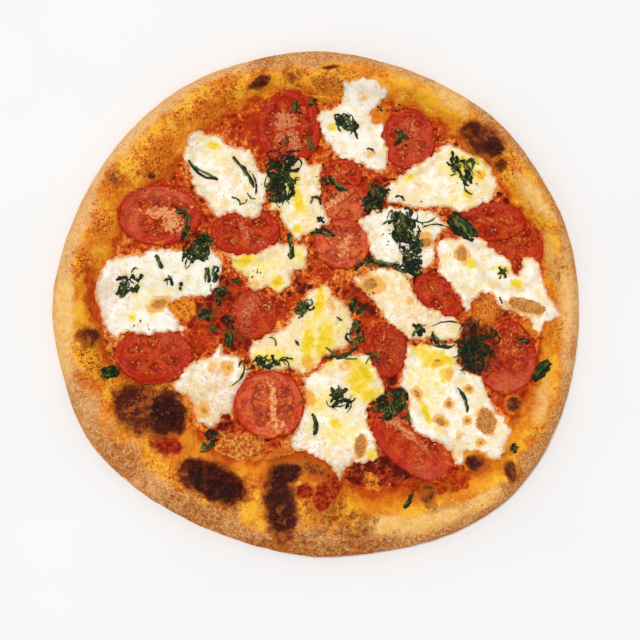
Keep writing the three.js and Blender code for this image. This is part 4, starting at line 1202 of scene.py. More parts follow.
CORES = [
    (-91, 54.5, 12, 3.6, -5, 1), (-86, 48.5, 6, 6, 0, 1), (-80, 54, 6, 2, 30, 0.7),
    (-25.5, -60, 2.4, 17, 2, 0.9), (-22.5, -73, 5, 6, 20, 0.8), (-29, -46, 3, 5, 0, 0.5),
    (-18, 109, 7, 7, 0, 0.9), (-13, 98, 4, 8, 15, 0.9), (-22, 99, 3, 5, -10, 0.7),
    (58, 104, 3, 9, 0, 0.6), (60, 92, 3, 6, 10, 0.5), (18, 35, 3, 9, -20, 0.8),
    (17, 36, 10, 2.5, 15, 0.6), (12, 62, 10, 2.2, 35, 0.9), (-42, 43, 3, 8, 30, 0.7),
    (-38, -2, 4, 10, -25, 0.7), (-34, 36, 6, 2.5, 20, 0.5), (46, -70, 7, 4, -45, 0.9),
    (56, -78, 9, 2.6, -42, 0.9), (66, -86, 6, 2.4, -38, 0.7), (62, -90, 3, 6, 20, 0.5),
    (118, 31, 3, 8, 10, 0.5), (-100, -33, 5, 1.6, 10, 0.4), (104, 50, 9, 2, 5, 0.6),
    (14, 78, 6, 2, 20, 0.6), (46, -24, 4, 8, 0, 0.6), (74, 5, 7, 1.8, -35, 0.5)
]

# %% How ripe each slice is, and where its flesh is pale or has sauce on it
RIPE = [0.45, 1, 1.1, 1, 0.7, 0.2, 0, 0.9, 1.2, 1.2, 1.1, 0.9, 1.1, 1.3, 1.7, 0]
PALE_WALL = [
    (17, 58, 14, 11, 0, 0.8), (16, 36, 15, 13, 0, 0.85), (-28, -60, 19, 18, 0, 0.6),
    (-91, 66, 22, 6, 0, 0.8), (-110, 53, 6, 14, 0, 0.6), (-28, -44, 10, 5, 0, 0.9),
    (-26, -77, 12, 5, 0, 0.8), (-11, -52, 4, 8, 30, 0.6), (-46, -62, 4, 12, 0, 0.3),
    (116, -50, 16, 8, 15, 1), (130, -38, 5, 10, -20, 0.7), (70, -102, 14, 5, -20, 0.6),
    (-43, -6, 4, 12, 10, 1), (-36, 4, 4, 10, 20, 0.7), (-85, -22, 10, 5, 0, 0.5),
    (60, 96, 12, 14, 0, 0.35), (112, 60, 18, 4, 0, 0.4), (50, -32, 4, 14, 0, 0.5)
]
SMEARED = [
    (106, -16, 18, 9, -25, 1), (97, -28, 10, 13, 0, 0.9), (124, -18, 6, 8, 20, 0.7),
    (122, 40, 9, 7, 0, 0.8), (-20, 92, 10, 5, 0, 0.5), (8, 68, 12, 6, 30, 0.6), (-52, 0, 8, 8, 0, 0.6),
    (-40, -18, 9, 5, 0, 0.5), (42, -28, 11, 14, 0, 0.8), (-112, -22, 10, 5, 30, 0.4)
]

# %% Outline of a slice
def oval_place(oval, share, angle):
    cx, cy, along, across, turn = oval[:5]
    u, v, tilt = along * share * np.cos(angle), across * share * np.sin(angle), np.radians(turn)
    return cx + u * np.cos(tilt) - v * np.sin(tilt), cy + u * np.sin(tilt) + v * np.cos(tilt)


def slice_wobble(angle, index):
    return 1 + 0.035 * ripple(np.cos(angle), np.sin(angle), 0.7, 100 + index)


# %% Inside of a slice
def slice_jelly(index, x, y, angle, bent):
    if not POCKETS[index]:
        return spots(x, y, JELLY, soft=0.5, ragged=0.3, size=4)
    wave = np.cos(POCKETS[index] * (angle - POCKET_TURN[index]) + 0.8 * ripple(x, y, 12, 140 + index))
    return smooth(-0.15, 0.45, wave) * smooth(0.16, 0.34, bent) * (1 - smooth(0.6, 0.76, bent))


def slice_parts(index, x, y):
    """How far out in the slice each place is, and how much of it is jelly, wall, skin and core."""
    oval = SLICES[index]
    tilt = np.radians(oval[4])
    u = ((x - oval[0]) * np.cos(tilt) + (y - oval[1]) * np.sin(tilt)) / oval[2]
    v = ((y - oval[1]) * np.cos(tilt) - (x - oval[0]) * np.sin(tilt)) / oval[3]
    angle = np.arctan2(v, u)
    share = np.hypot(u, v) / slice_wobble(angle, index)
    bent = share + 0.06 * ripple(x, y, 7, 120 + index) + 0.03 * ripple(x, y, 3, 121 + index)
    wall, skin = smooth(0.66, 0.78, bent), smooth(0.91, 0.97, share)
    if index in OPEN_SIDE:
        facing = np.cos(np.arctan2(y - oval[1], x - oval[0]) - np.radians(OPEN_SIDE[index]))
        shut = 1 - smooth(-0.1, 0.5, facing)
        wall, skin = wall * shut, skin * shut
    core = spots(x, y, CORES, soft=0.9, ragged=0.7, size=2.6)
    jelly = slice_jelly(index, x, y, angle, bent) * (1 - wall) * (1 - core)
    return share, angle, jelly, wall, skin, core


# %% Thickness of a slice
SLICE_THICK = 2.9
SLICE_EDGE = 1.1


def slice_rise(index, x, y):
    """Thickness of a slice over what it rests on."""
    share, _, jelly, wall, _, core = slice_parts(index, x, y)
    edge = np.sqrt(np.clip(1 - ((share - 0.9) / 0.105).clip(0, 1) ** 2, 0, 1))
    sunk = 0.35 * (1 - wall) + 0.8 * jelly - 0.35 * core
    grain = (0.16 + 0.16 * jelly) * ripple(x, y, 2.2, 15) + 0.22 * ripple(x, y, 5, 16)
    return SLICE_EDGE + (SLICE_THICK - SLICE_EDGE + grain - sunk) * edge


# %% [markdown]
# The flesh is not one red. Its wall is dull and pinkish, the ribs and the core are pale orange, and the
# jelly is a deep orange red with grains of pulp in it. Small light specks, most of them in the jelly, are
# painted highlights of the wet flesh. The skin is the purest red. Much light scattered under the surface
# would turn all of it to wax, so there is only a little.

# %% Flesh, wall and jelly
FLESH, LIGHT_FLESH, RIB = (0.42, 0.018, 0.001), (0.74, 0.1, 0.006), (0.86, 0.25, 0.06)
FIRM, LIGHT_FIRM, PALE_FLESH = (0.46, 0.018, 0.004), (0.68, 0.06, 0.02), (0.8, 0.2, 0.085)
JELLY_RED, JELLY_LIGHT, POCKET_EDGE = (0.2, 0.005, 0.001), (0.76, 0.12, 0.005), (0.24, 0.007, 0.001)
CORE_RED, CORE_PALE, SKIN_RED = (0.55, 0.06, 0.012), (0.95, 0.46, 0.17), (0.5, 0.014, 0.003)


def flesh_tone(finish, cloud, fine):
    names = ("jelly", "wall", "skin", "core", "vein", "band", "pale")
    jelly, wall, skin, core, vein, band, pale = finish.masks(*names)
    tone = finish.mix(FLESH, LIGHT_FLESH, (cloud * 0.85 + fine * 0.25).step(0.44, 0.68))
    tone = tone.coat(RIB, (vein * (0.35 + cloud)).step(0.3, 0.75) * 0.85)
    firm = (cloud * 0.5 + fine * 0.2 + band * 0.25).step(0.36, 0.64)
    tone = tone.coat(finish.mix(FIRM, LIGHT_FIRM, firm), wall * 0.92)
    tone = tone.coat(PALE_FLESH, pale * (0.38 + vein * 0.3 + band * 0.35) * (1 - skin))
    pulp = finish.mix(JELLY_RED, JELLY_LIGHT, (fine * 0.25 + cloud * 0.85).step(0.46, 0.7))
    tone = tone.coat(pulp, jelly * (0.9 - pale * 0.6))
    tone = tone.coat(POCKET_EDGE, (jelly * (1 - jelly) * 4).step(0.3, 1.0) * cloud.step(0.35, 0.6) * 0.55)
    middle = finish.mix(CORE_RED, CORE_PALE, (fine * 0.6 + vein * 0.25 + core * 0.35).step(0.44, 0.72))
    tone = tone.coat(middle, core.step(0.1, 0.7) * 0.9)
    return tone.coat(SKIN_RED, skin * cloud.step(0.35, 0.6) * 0.8)


# %% Finish of the slices
SMEAR, LIGHT_SMEAR, RIPE_RED = (0.3, 0.012, 0.002), (0.8, 0.2, 0.012), (0.36, 0.012, 0.002)
DARK_GRAIN, PAINTED_GLINT, ROASTED_FLESH = (0.22, 0.008, 0.002), (0.95, 0.4, 0.14), (0.06, 0.03, 0.006)


def tomato_finish():
    finish = Finish("baked tomato")
    cloud, fine = finish.noise(6, 31, 3, 0.6), finish.noise(1.6, 32, 3, 0.65)
    jelly, smeared, roasted = finish.masks("jelly", "smeared", "roasted")
    sauce = finish.mix(SMEAR, LIGHT_SMEAR, (fine * 0.5 + cloud * 0.5).step(0.42, 0.62))
    tone = flesh_tone(finish, cloud, fine).coat(sauce, (smeared + fine.about(0.9)).step(0.3, 0.8) * 0.8)
    tone = tone.coat(RIPE_RED, finish.mask("ripe") * 0.4)
    tone = tone.coat(DARK_GRAIN, (1 - fine).step(0.55, 0.65) * (0.35 + jelly * 0.3))
    # Small light specks, most in the jelly and where sauce is smeared: painted highlights of the wet flesh.
    tone = tone.coat(PAINTED_GLINT, fine.step(0.59, 0.67) * (0.16 + jelly * 0.4 + smeared * 0.3))
    tone = tone.coat(ROASTED_FLESH, (roasted * 0.4 + fine * 0.6).step(0.6, 0.75) * 0.85)
    bumps = finish.bump(cloud, 0.8, finish.bump(fine, 0.55))
    finish.surface(base_color=tone, roughness=0.12 + fine * 0.2, normal=bumps, specular_ior_level=0.07)
    return finish.surface(subsurface_weight=0.06, subsurface_radius=(1.0, 0.3, 0.15),
                          subsurface_scale=1 * MM)


baked_tomato = tomato_finish()

# %% [markdown]
# Rings of points make a slice: a few below, a close row of them over its rounded edge, and even ones
# across. A cylinder with a picture of a tomato on it would look the same from above and wrong from the
# side. Each slice is laid on the map of heights, which then holds it for the next piece.

# %% Mesh and masks of a slice
SLICE_STEPS = 150
SLICE_SHARES = [1, 0.995, 0.98, 0.955, *np.linspace(0.925, 0.04, 27)]
UNDER_SLICE_SHARES = [0.5, 0.9, 1]
SINK = 0.15  # how far a slice presses into what is under it


def slice_mesh(index, below, corner):
    oval = SLICES[index]
    angle = np.arange(SLICE_STEPS) / SLICE_STEPS * 2 * np.pi
    rings = []
    for share in UNDER_SLICE_SHARES:
        x, y = oval_place(oval, share * slice_wobble(angle, index), angle)
        rings.append(np.c_[x, y, read_map(top, x, y) - SINK])
    for share in SLICE_SHARES:
        x, y = oval_place(oval, share * slice_wobble(angle, index), angle)
        rings.append(np.c_[x, y, read_map(below, x, y, corner) + slice_rise(index, x, y)])
    middles = np.array([[*oval[:2], read_map(below, *oval[:2], corner) + slice_rise(index, *oval[:2])],
                        [*oval[:2], read_map(top, *oval[:2]) - SINK]])
    middle = len(rings) * SLICE_STEPS
    faces = ring_faces(len(rings), SLICE_STEPS) + closing_fan(len(rings) - 1, SLICE_STEPS, middle)
    faces += [(b, a, middle + 1) for a, b, _ in closing_fan(0, SLICE_STEPS, middle)]
    return np.concatenate([*rings, middles]), faces


def slice_masks(index, x, y):
    share, angle, jelly, wall, skin, core = slice_parts(index, x, y)
    vein = smooth(0.1, 0.8, ripple(np.cos(angle) * 4 + share, np.sin(angle) * 4 + share, 0.55, 17))
    band = smooth(-0.4, 0.5, ripple(13 * share + 3 * np.cos(angle), 3 * np.sin(angle) + index, 1, 19))
    wet_rim = smooth(0.72, 1, share) * smooth(-0.1, 0.5, ripple(x, y, 9, 33))
    return {"jelly": jelly, "wall": wall, "skin": skin, "core": core, "band": band,
            "vein": vein * smooth(0.1, 0.4, share), "ripe": RIPE[index],
            "smeared": np.maximum(wet_rim, spots(x, y, SMEARED, soft=1, ragged=0.5, size=5)),
            "pale": spots(x, y, PALE_WALL, soft=1, ragged=0.4, size=4),
            "roasted": spots(x, y, ROASTED, soft=1, ragged=0.4, size=3)}


# %% Laying the slices, and drawing where their seeds are
SEEDS_DRAWN = 150
SEEDS_KEPT = 7  # at most, of those that fall in jelly

seed_places = []
seed_draw = np.random.default_rng(21)


def draw_seeds(index, reach):
    centre = SLICES[index][:2]
    drawn = seed_draw.uniform(-1, 1, (SEEDS_DRAWN, 2)) * reach * 0.7 + centre
    kept = drawn[slice_parts(index, *drawn.T)[2] > 0.55][:SEEDS_KEPT]
    seed_places.extend((*place, read_map(top, *place), np.arctan2(*(place - centre)[::-1])) for place in kept)


def lay_slice(index):
    oval = SLICES[index]
    reach = max(oval[2:4]) * 1.06
    below, corner, rows, columns = resting(np.array(oval[:2]) - reach, np.array(oval[:2]) + reach)
    points, faces = slice_mesh(index, below, corner)
    make_piece(f"tomato_round_{index + 1:02d}", points, faces, baked_tomato,
               [f"tomato_slice_{index + 1:02d}"], slice_masks(index, points[:, 0], points[:, 1]))
    cells_x, cells_y = map_x[rows, columns], map_y[rows, columns]
    share = slice_parts(index, cells_x, cells_y)[0]
    raised = below + slice_rise(index, cells_x, cells_y)
    top[rows, columns] = np.where(share < 0.99, raised, top[rows, columns])
    draw_seeds(index, reach)


for index in range(len(SLICES) - 1):
    lay_slice(index)

# %% [markdown]
# ## Mozzarella
# Torn fresh mozzarella melts into thin, ragged patches. Each one is a closed sheet that thins towards
# its edge, and its top is smooth with shallow dents. A fluid simulation could melt it, but would not
# put each patch where it should be. Where the fat came out, it is stained yellow by the oil of the
# tomatoes, and the bubbles on it toasted brown.

# %% Oil, toasted bubbles, where sauce tints the cheese, and painted shade at one edge
OIL = [
    (-61, 95, 4, 2.5, 0, 0.9), (-67, 98, 5, 3, 0, 0.3), (10, 106, 2.5, 2.5, 0, 1),
    (-11, 63, 4, 10, 20, 0.9), (-13, 74, 3, 7, 0, 0.7), (-11, 45, 3, 3, 0, 0.9), (-4, 50, 3, 4, 0, 0.4),
    (88, 85, 5, 4, 0, 1), (98, 78, 4, 4, 0, 1), (96, 86, 5, 3, 0, 0.7), (56, 76, 2.5, 2.5, 0, 0.8),
    (91, 66, 3, 3, 0, 0.9), (82, 90, 4, 3, 0, 0.6), (92, 25, 6, 3, -35, 0.7), (120, 12, 4, 3, 0, 0.9),
    (112, 20, 5, 4, 0, 0.7), (106, 12, 5, 2, 0, 0.4), (-110, -8, 2.5, 2.5, 0, 0.8),
    (-107, 8, 2.2, 12, 0, 0.45), (-100, 2, 6, 5, 0, 0.3), (-42, 26.5, 7, 3, 10, 0.95),
    (-23, 13, 4, 4, 0, 1), (-10, 29, 4, 5, 0, 0.5), (-46, 23, 4, 3, 0, 0.6), (2.5, 0, 3.6, 10, -12, 1),
    (5, -22, 5, 11, -8, 1), (-4.5, -26, 4, 13, -5, 1), (8, -34, 5, 4, 0, 0.6), (-33, -32, 5, 4, 0, 0.7),
    (-28, -30, 3, 3, 0, 0.5), (27, -45, 7, 12, -8, 1), (32, -55, 6, 5, 0, 0.9), (22, -36, 5, 4, 0, 0.8),
    (24, -55, 4, 4, 0, 0.5), (38, -53, 3, 3, 0, 0.8), (12, -72, 3, 3, 0, 0.95), (34, -90, 3, 3, 0, 0.9),
    (6, -60, 12, 10, 0, 0.45), (14, -76, 12, 9, 0, 0.45), (88, 82, 12, 8, 0, 0.6),
    (84, 62, 14, 6, 20, 0.35), (-38, 18, 10, 8, 0, 0.25), (88, 24, 12, 10, 0, 0.2),
    (68, -46, 12, 14, 20, 0.4), (-24, -32, 12, 6, 0, 0.6), (16, -16, 5, 10, 0, 0.3),
    (-30, 22, 10, 6, 0, 0.4), (-58, 88, 8, 8, 0, 0.2), (72, -33, 10, 6, -10, 1), (62, -27, 4, 4, 0, 0.8),
    (66, -64, 2.2, 8, 20, 0.95), (72, -48, 3, 3, 0, 0.6), (78, -42, 4, 6, 0, 0.8),
    (60, -40, 3, 3, 0, 0.5), (72, -75, 3, 2, -45, 0.5)
]
GILDED = [
    (102.5, -70.5, 6.4, 8.8, 15, 1), (28, 124, 4, 3, 0, 0.6), (33, 90, 4, 3, 0, 0.6),
    (26, 110, 6, 5, 0, 0.35), (38, 131, 4, 4, 0, 0.5), (-6, 52, 4, 7, 0, 0.4), (-4, 68, 4, 6, 0, 0.3),
    (62, 73, 4, 3, 0, 0.5), (75, 60, 4, 3, 0, 0.4), (90, 84, 3, 2.5, 0, 0.8), (99, 77, 2.5, 2.5, 0, 0.8),
    (66, 38, 7, 5, -10, 0.85), (50, 28, 8, 5, 0, 0.3), (36, 42, 5, 6, 0, 0.3), (34, 11.5, 8, 6.5, -15, 1),
    (57, 2, 2.5, 3, 0, 0.7), (52, 12, 6, 4, 0, 0.25), (88, 30, 5, 6.5, 0, 0.95), (114, 19, 3, 3, 0, 0.7),
    (126, -2, 13, 5, -15, 0.9), (-94, 0, 8, 5, 20, 1), (-98, -2, 6, 5, 0, 0.5), (-36, 12, 4, 3, 0, 0.6),
    (-23, 13, 2, 2, 0, 0.7), (9, 0, 3, 5, 20, 0.7), (2, 0, 1.5, 2, 0, 0.5), (-4, -36, 4, 5, 0, 0.8),
    (18, -37, 5, 4, 0, 0.7), (-3, -57, 3.5, 5.5, 10, 0.9), (27, -85, 4.5, 8, -5, 1),
    (2, -80, 4, 3, 0, 0.5), (-2, -74, 4, 4, 0, 0.35), (20, -42, 6, 6, 0, 0.4), (92, -51, 3.4, 3, 0, 1),
    (80, -60, 3.4, 3.6, 0, 1), (75, -70, 5.5, 3.5, -35, 1), (91, -70, 3.4, 3, 0, 0.95),
    (61, -54, 3.5, 5, 30, 0.9), (99, -83, 3.6, 3, 0, 0.9), (86, -79, 2.5, 3.5, 0, 0.7),
    (80, -42, 3, 5, 0, 0.9), (73, -36, 4, 2, 0, 0.7), (82, -33, 4, 4, 0, 0.4),
    (-53, -38, 4.4, 4.4, 0, 0.95), (-62, -38, 3.4, 3.6, 0, 0.7), (-68, -64, 6, 6, 0, 0.8),
    (-73, -60, 4, 4, 0, 0.5), (-22, -36, 4, 3, 0, 0.25), (102, 62, 5, 5, 0, 0.3), (70, 92, 4, 3, 0, 0.3)
]
TOASTED_CHEESE = [
    (102.5, -70.5, 5.4, 7.8, 15, 1), (127, -1, 12, 4, -15, 0.8), (27, -85, 3.4, 6.5, -5, 0.7),
    (92, -51, 1.6, 1.4, 0, 0.9), (80, -60, 1.6, 1.8, 0, 0.9), (75, -70.5, 3, 2, -35, 0.9),
    (91, -70, 1.5, 1.3, 0, 0.7), (88, 30, 3.5, 5, 0, 0.5), (66, 37, 4, 3, 0, 0.5),
    (33, 12, 4, 3.4, 0, 0.7), (-94, 0, 5, 3, 20, 0.5), (61, -54, 1.5, 3, 30, 0.6),
    (73, -34, 2.5, 1, 0, 0.5), (99, -83, 1.4, 1.2, 0, 0.7), (98, 79, 1.4, 1.4, 0, 0.6),
    (-52, -38, 2, 2, 0, 0.4), (-67, -64, 3, 2.5, 0, 0.4), (25, 120, 10, 9, 0, 0.22)
]
# Where sauce tints the cheese pink. The ovals at (-118, 10) and (-128, 4) are painted shade instead: a
# pink-grey shadow along the left edge of the patch there.
PINK_AND_SHADE = [
    (-118, 10, 12, 14, 0, 0.7), (-104, 20, 12, 8, 0, 0.4), (-72, 98, 5, 3, 0, 0.7),
    (-77, 22, 10, 6, 0, 0.3), (18, -95, 14, 8, 30, 0.6), (-5, -80, 10, 8, 0, 0.5),
    (78, -84, 10, 5, -30, 0.5), (96, 20, 12, 10, 0, 0.25), (60, -6, 14, 10, -30, 0.4),
    (14, -14, 6, 12, 0, 0.3), (6, -40, 5, 5, 0, 0.4), (112, -80, 5, 8, 0, 0.4), (50, 30, 10, 8, 0, 0.3),
    (40, -42, 5, 6, 0, 0.3), (-74, -52, 6, 6, 0, 0.5), (-74, 92, 6, 8, 0, 0.5), (-128, 4, 6, 16, 0, 0.8),
    (-62, -52, 18, 20, 0, 0.66), (-55, 74, 20, 22, 0, 0.3), (100, -78, 14, 16, 0, 0.25)
]
# How creamy each patch is.
CREAM = [0.4, 0.25, 0.5, 0.5, 0.35, 0.6, 0.4, 0.35, 0.25, 0.6, 0.7, 0.4, 0.45]

# %% Form of a patch
CHEESE_THICK = 2.5
CHEESE_EDGE = 0.25
CHEESE_ROUND = 2.6
CHEESE_PITCH = 0.8


def cheese_rise(x, y, inside):
    lumps = 0.4 * ripple(x, y, 11, 18) + 0.28 * ripple(x, y, 5, 19) + 0.16 * ripple(x, y, 2.4, 20)
    dents = 0.4 * spots(x, y, TOASTED_CHEESE, soft=0.8) - 0.4 * spots(x, y, OIL, soft=0.8)
    share = 1 - np.exp(-np.maximum(inside, 0) / CHEESE_ROUND)
    return CHEESE_EDGE + (CHEESE_THICK - CHEESE_EDGE + lumps + dents) * share


# %% [markdown]
# Melted mozzarella is nearly white, and its tints are faint: cream where fat spread, pink where sauce
# came through, pale brown freckles, and clear yellow oil. A greyer pink along the left edge of one patch
# is painted shade. The stronger coats come last, over the fainter ones: toasted bubbles with a darker
# ring, and an orange edge where it touches the sauce.

# %% White, cream and pink of the cheese
WHITE, OFF_WHITE, CREAM_TONE = (0.96, 0.915, 0.82), (0.82, 0.765, 0.57), (0.92, 0.66, 0.24)
FAINT_BROWN, ROSE_AND_SHADE, FAINT_GOLD = (0.66, 0.4, 0.22), (0.68, 0.46, 0.36), (0.8, 0.4, 0.15)


def milky_tone(finish, broad, cloud, fine):
    edge, gilt, pink_and_shade, creamy = finish.masks("edge", "gilded", "pink_and_shade", "cream")
    swirl = finish.noise(5.5, 45, 3, 0.6)
    tone = finish.mix(WHITE, OFF_WHITE, (broad * 0.6 + swirl * 0.5).step(0.42, 0.72))
    tone = tone.coat(CREAM_TONE, (creamy * 0.5 + broad * 0.3 + swirl * 0.8).step(0.64, 0.92) * 0.7)
    rough = creamy * 0.4 + broad * 0.2 + edge * 0.4 + pink_and_shade * 0.3
    tone = tone.coat(FAINT_BROWN, (fine * 0.7 + cloud * 0.25 + rough * 0.35).step(0.62, 0.75) * 0.75)
    # Pink where sauce came through, and pink-grey painted shade along the left edge of one patch.
    tone = tone.coat(ROSE_AND_SHADE, (pink_and_shade * 0.5 + edge * 0.3 + cloud * 0.5).step(0.42, 0.82) * 0.65)
    return tone.coat(FAINT_GOLD, (gilt * 0.25 + fine * 0.5 + cloud * 0.4).step(0.58, 0.7) * 0.5)


# %% Finish of the cheese
PALE_OIL, YELLOW_OIL, GILT = (0.92, 0.76, 0.13), (0.84, 0.58, 0.006), (0.84, 0.4, 0.05)
BUBBLE, DARK_BUBBLE, BUBBLE_RING = (0.6, 0.24, 0.05), (0.24, 0.06, 0.01), (0.4, 0.14, 0.02)
PEPPER, ORANGE_EDGE = (0.24, 0.13, 0.09), (0.78, 0.3, 0.09)
PEPPER_APART = 2.1


def cheese_finish():
    finish = Finish("melted mozzarella")
    broad, cloud, fine = finish.noise(11, 41), finish.noise(3, 42, 3, 0.65), finish.noise(1.2, 43, 3, 0.7)
    edge, oil, gilt, toasted = finish.masks("edge", "oil", "gilded", "toasted")
    tone = milky_tone(finish, broad, cloud, fine)
    tone = tone.coat(PALE_OIL, (oil + cloud.about(0.9) + fine.about(0.5)).step(0.05, 0.8) * 0.9)
    tone = tone.coat(YELLOW_OIL, (oil + cloud.about(0.9) + fine.about(0.6)).step(0.4, 1.0) * 0.95)
    tone = tone.coat(GILT, (gilt + cloud.about(0.5) + fine.about(0.6)).step(0.25, 0.85) * 0.88)
    brown = (toasted + fine.about(0.6)).step(0.25, 0.65)
    bubble = finish.mix(BUBBLE, DARK_BUBBLE, (fine * 0.75 + cloud * 0.25).step(0.44, 0.6))
    tone = tone.coat(bubble, brown * 0.85)
    tone = tone.coat(BUBBLE_RING, (brown * (1 - brown) * 4).step(0.3, 1) * 0.45)
    dots = 1 - finish.grains(PEPPER_APART, 44).step(0.1, 0.3)
    tone = tone.coat(PEPPER, dots * finish.lots(PEPPER_APART, 44).step(0.6, 0.75) * 0.5)
    tone = tone.coat(ORANGE_EDGE, edge.step(0.4, 1) * (0.3 + fine * 0.9))
    bumps = finish.bump(cloud, 0.3, finish.bump(fine, 0.15))
    gloss = 0.35 - oil * 0.15 + brown * 0.2
    finish.surface(base_color=tone, roughness=gloss, normal=bumps, specular_ior_level=0.14)
    return finish.surface(subsurface_weight=0.08, subsurface_radius=(1.0, 0.7, 0.45),
                          subsurface_scale=1 * MM)


melted_mozzarella = cheese_finish()

# %% [markdown]
# The patches go down in the order of the list, each on what the map of heights holds by then. Two rows
# of points run close inside the outline, so that the thin edge is round and not a slope of slivers.

# %% Mesh and masks of a patch
EDGE_ROWS = (0.3, 0.8)
CHEESE_UNDER_PITCH = 4
CHEESE_SINK = 0.2


def patch_points(outline):
    """Points inside the outline: close together for the top, far apart for the underside."""
    low, high = outline.min(axis=0), outline.max(axis=0)
    fine = even_points(low, high, CHEESE_PITCH)
    fine = fine[edge_distance(*fine.T, outline[::2]) > 1.3]
    for inset in EDGE_ROWS:
        row = outline - outward(outline) * inset
        fine = np.concatenate([fine, row[edge_distance(*row.T, outline) > 0.85 * inset]])
    coarse = even_points(low, high, CHEESE_UNDER_PITCH)
    return fine, coarse[edge_distance(*coarse.T, outline[::4]) > 2]


def patch_masks(index, x, y, inside):
    return {"oil": 1.1 * spots(x, y, OIL, soft=1.6, ragged=0.4, size=4),
            "gilded": spots(x, y, GILDED, soft=0.8, ragged=0.24, size=3.4),
            "toasted": spots(x, y, TOASTED_CHEESE, soft=0.5, ragged=0.18, size=3),
            "pink_and_shade": spots(x, y, PINK_AND_SHADE, soft=1.2, ragged=0.5, size=4), "cream": CREAM[index],
            "edge": 1 - smooth(0, 2.8, inside + 1.3 * ripple(x, y, 3.4, 24))}


# %% Laying the patches
cheese_map = np.zeros(map_x.shape)  # 1 where cheese lies


def lay_patch(index, outline):
    below, corner, rows, columns = resting(outline.min(axis=0), outline.max(axis=0))

    def height(x, y):
        inside = edge_distance(x, y, outline[::2])
        inside[:len(outline)] = 0
        return read_map(below, x, y, corner) + cheese_rise(x, y, inside)

    def underside(x, y):
        return read_map(top, x, y) - CHEESE_SINK

    points, faces = closed_sheet(outline, *patch_points(outline), height, underside)
    x, y = points[:, 0], points[:, 1]
    masks = patch_masks(index, x, y, edge_distance(x, y, outline[::2]))
    make_piece(f"melted_patch_{index + 1:02d}", points, faces, melted_mozzarella,
               [f"mozzarella_{index + 1:02d}"], masks)
    cells_x, cells_y = map_x[rows, columns], map_y[rows, columns]
    inside = edge_distance(cells_x, cells_y, outline[::2])
    raised = np.maximum(below + cheese_rise(cells_x, cells_y, inside), top[rows, columns])
    top[rows, columns] = np.where(inside > 0.2, raised, top[rows, columns])
    cheese_map[rows, columns] = np.maximum(cheese_map[rows, columns], inside > 0)


for index, outline in enumerate(patch_outlines):
    lay_patch(index, outline)
lay_slice(len(SLICES) - 1)

# %% [markdown]
# ## Basil
# The basil was chopped and scattered before baking, so it lies in dark, curled tangles: flat shreds of
# leaf, which stay green on top, and thin threads, which went black. Hair particles would be quick but
# don't leave Blender as a mesh. So a shred is a ribbon with a wave across it, with both its faces
# modelled.

# %% Faces of a ribbon
SHRED_STATIONS = 8
SHRED_THICK = 0.3
SHRED_ACROSS = np.array([-1, -0.5, 0, 0.5, 1])


def ribbon_faces():
    size = len(SHRED_ACROSS)
    loop = [*range(size), *range(2 * size - 1, size - 1, -1)]
    faces = []
    for base in range(0, 2 * size * (SHRED_STATIONS - 1), 2 * size):
        for i, j in zip(loop, loop[1:] + loop[:1]):
            faces.append((base + i, base + j, base + 2 * size + j, base + 2 * size + i))
    last = 2 * size * (SHRED_STATIONS - 1)
    for i in range(size - 1):
        faces.append((i + size, i + size + 1, i + 1, i))
        faces.append((last + i, last + i + 1, last + i + size + 1, last + i + size))
    return faces


SHRED_FACES = ribbon_faces()

# %% One shred
def through(line, count):
    """Evenly spread places on a smooth curve through the points of a line."""
    line = np.asarray(line, float)
    t = np.linspace(0, len(line) - 1, count)
    first = np.minimum(t.astype(int), len(line) - 2)
    padded = np.concatenate([[2 * line[0] - line[1]], line, [2 * line[-1] - line[-2]]])
    a, b, c, d = (padded[first + step] for step in range(4))
    s = (t - first)[:, None]
    return b + 0.5 * s * (c - a + s * (2 * a - 5 * b + 4 * c - d + s * (3 * (b - c) + d - a)))


def shred(line, width, lift, tone, draw):
    """Points, faces and masks of a ribbon along a line of places."""
    path = through(line, SHRED_STATIONS)
    path = path + draw.normal(0, 0.16, path.shape) * min(width, 1.6)
    along = np.gradient(path, axis=0)
    side = np.c_[-along[:, 1], along[:, 0]] / np.maximum(np.hypot(*along.T), 1e-6)[:, None]
    share = np.linspace(0, 1, SHRED_STATIONS)
    half = width / 2 * (1 - 0.4 * np.abs(2 * share - 1) ** 4) * (1 + 0.32 * draw.normal(size=SHRED_STATIONS))
    half = np.clip(half, 0.15 * width, 0.75 * width)
    rest = read_map(top, *path.T)
    rest = np.maximum(rest, np.convolve(np.pad(rest, 1, "edge"), [0.3, 0.4, 0.3], "valid"))
    height = rest + lift * (0.4 + share) + 0.3
    phase, waves = draw.uniform(0, 2 * np.pi), draw.uniform(2, 5)
    rows = []
    for up in (0, SHRED_THICK):
        for across in SHRED_ACROSS:
            place = path + side * (across * half)[:, None]
            wave = 0.45 * half * np.sin(waves * share * np.pi + 2.4 * across + phase)
            rows.append(np.c_[place, height + wave + 0.25 * half * across**2 + up])
    points = np.stack(rows, axis=1).reshape(-1, 3)
    rim = np.tile(np.abs(np.tile(SHRED_ACROSS, 2)), SHRED_STATIONS)
    return points, SHRED_FACES, {"rim": rim, "tone": np.full(len(points), tone)}


def joined(parts):
    """Many parts, each of points, faces and masks, as one."""
    faces, start = [], 0
    for places, corners, _ in parts:
        faces += [tuple(i + start for i in face) for face in corners]
        start += len(places)
    masks = {name: np.concatenate([part[2][name] for part in parts]) for name in parts[0][2]}
    return np.concatenate([part[0] for part in parts]), faces, masks


# %% [markdown]
# Baked basil is nearly black, and reads as green only where a shred faces the light. `tone` is how
# green a shred stayed. It is drawn for each, because one green for all would make a tangle one blot.

# %% Finish of the basil
BLACK_GREEN, GREEN = (0.009, 0.013, 0.004), (0.042, 0.076, 0.011)
LIGHT_GREEN, BURNT_GREEN = (0.16, 0.2, 0.03), (0.03, 0.012, 0.006)


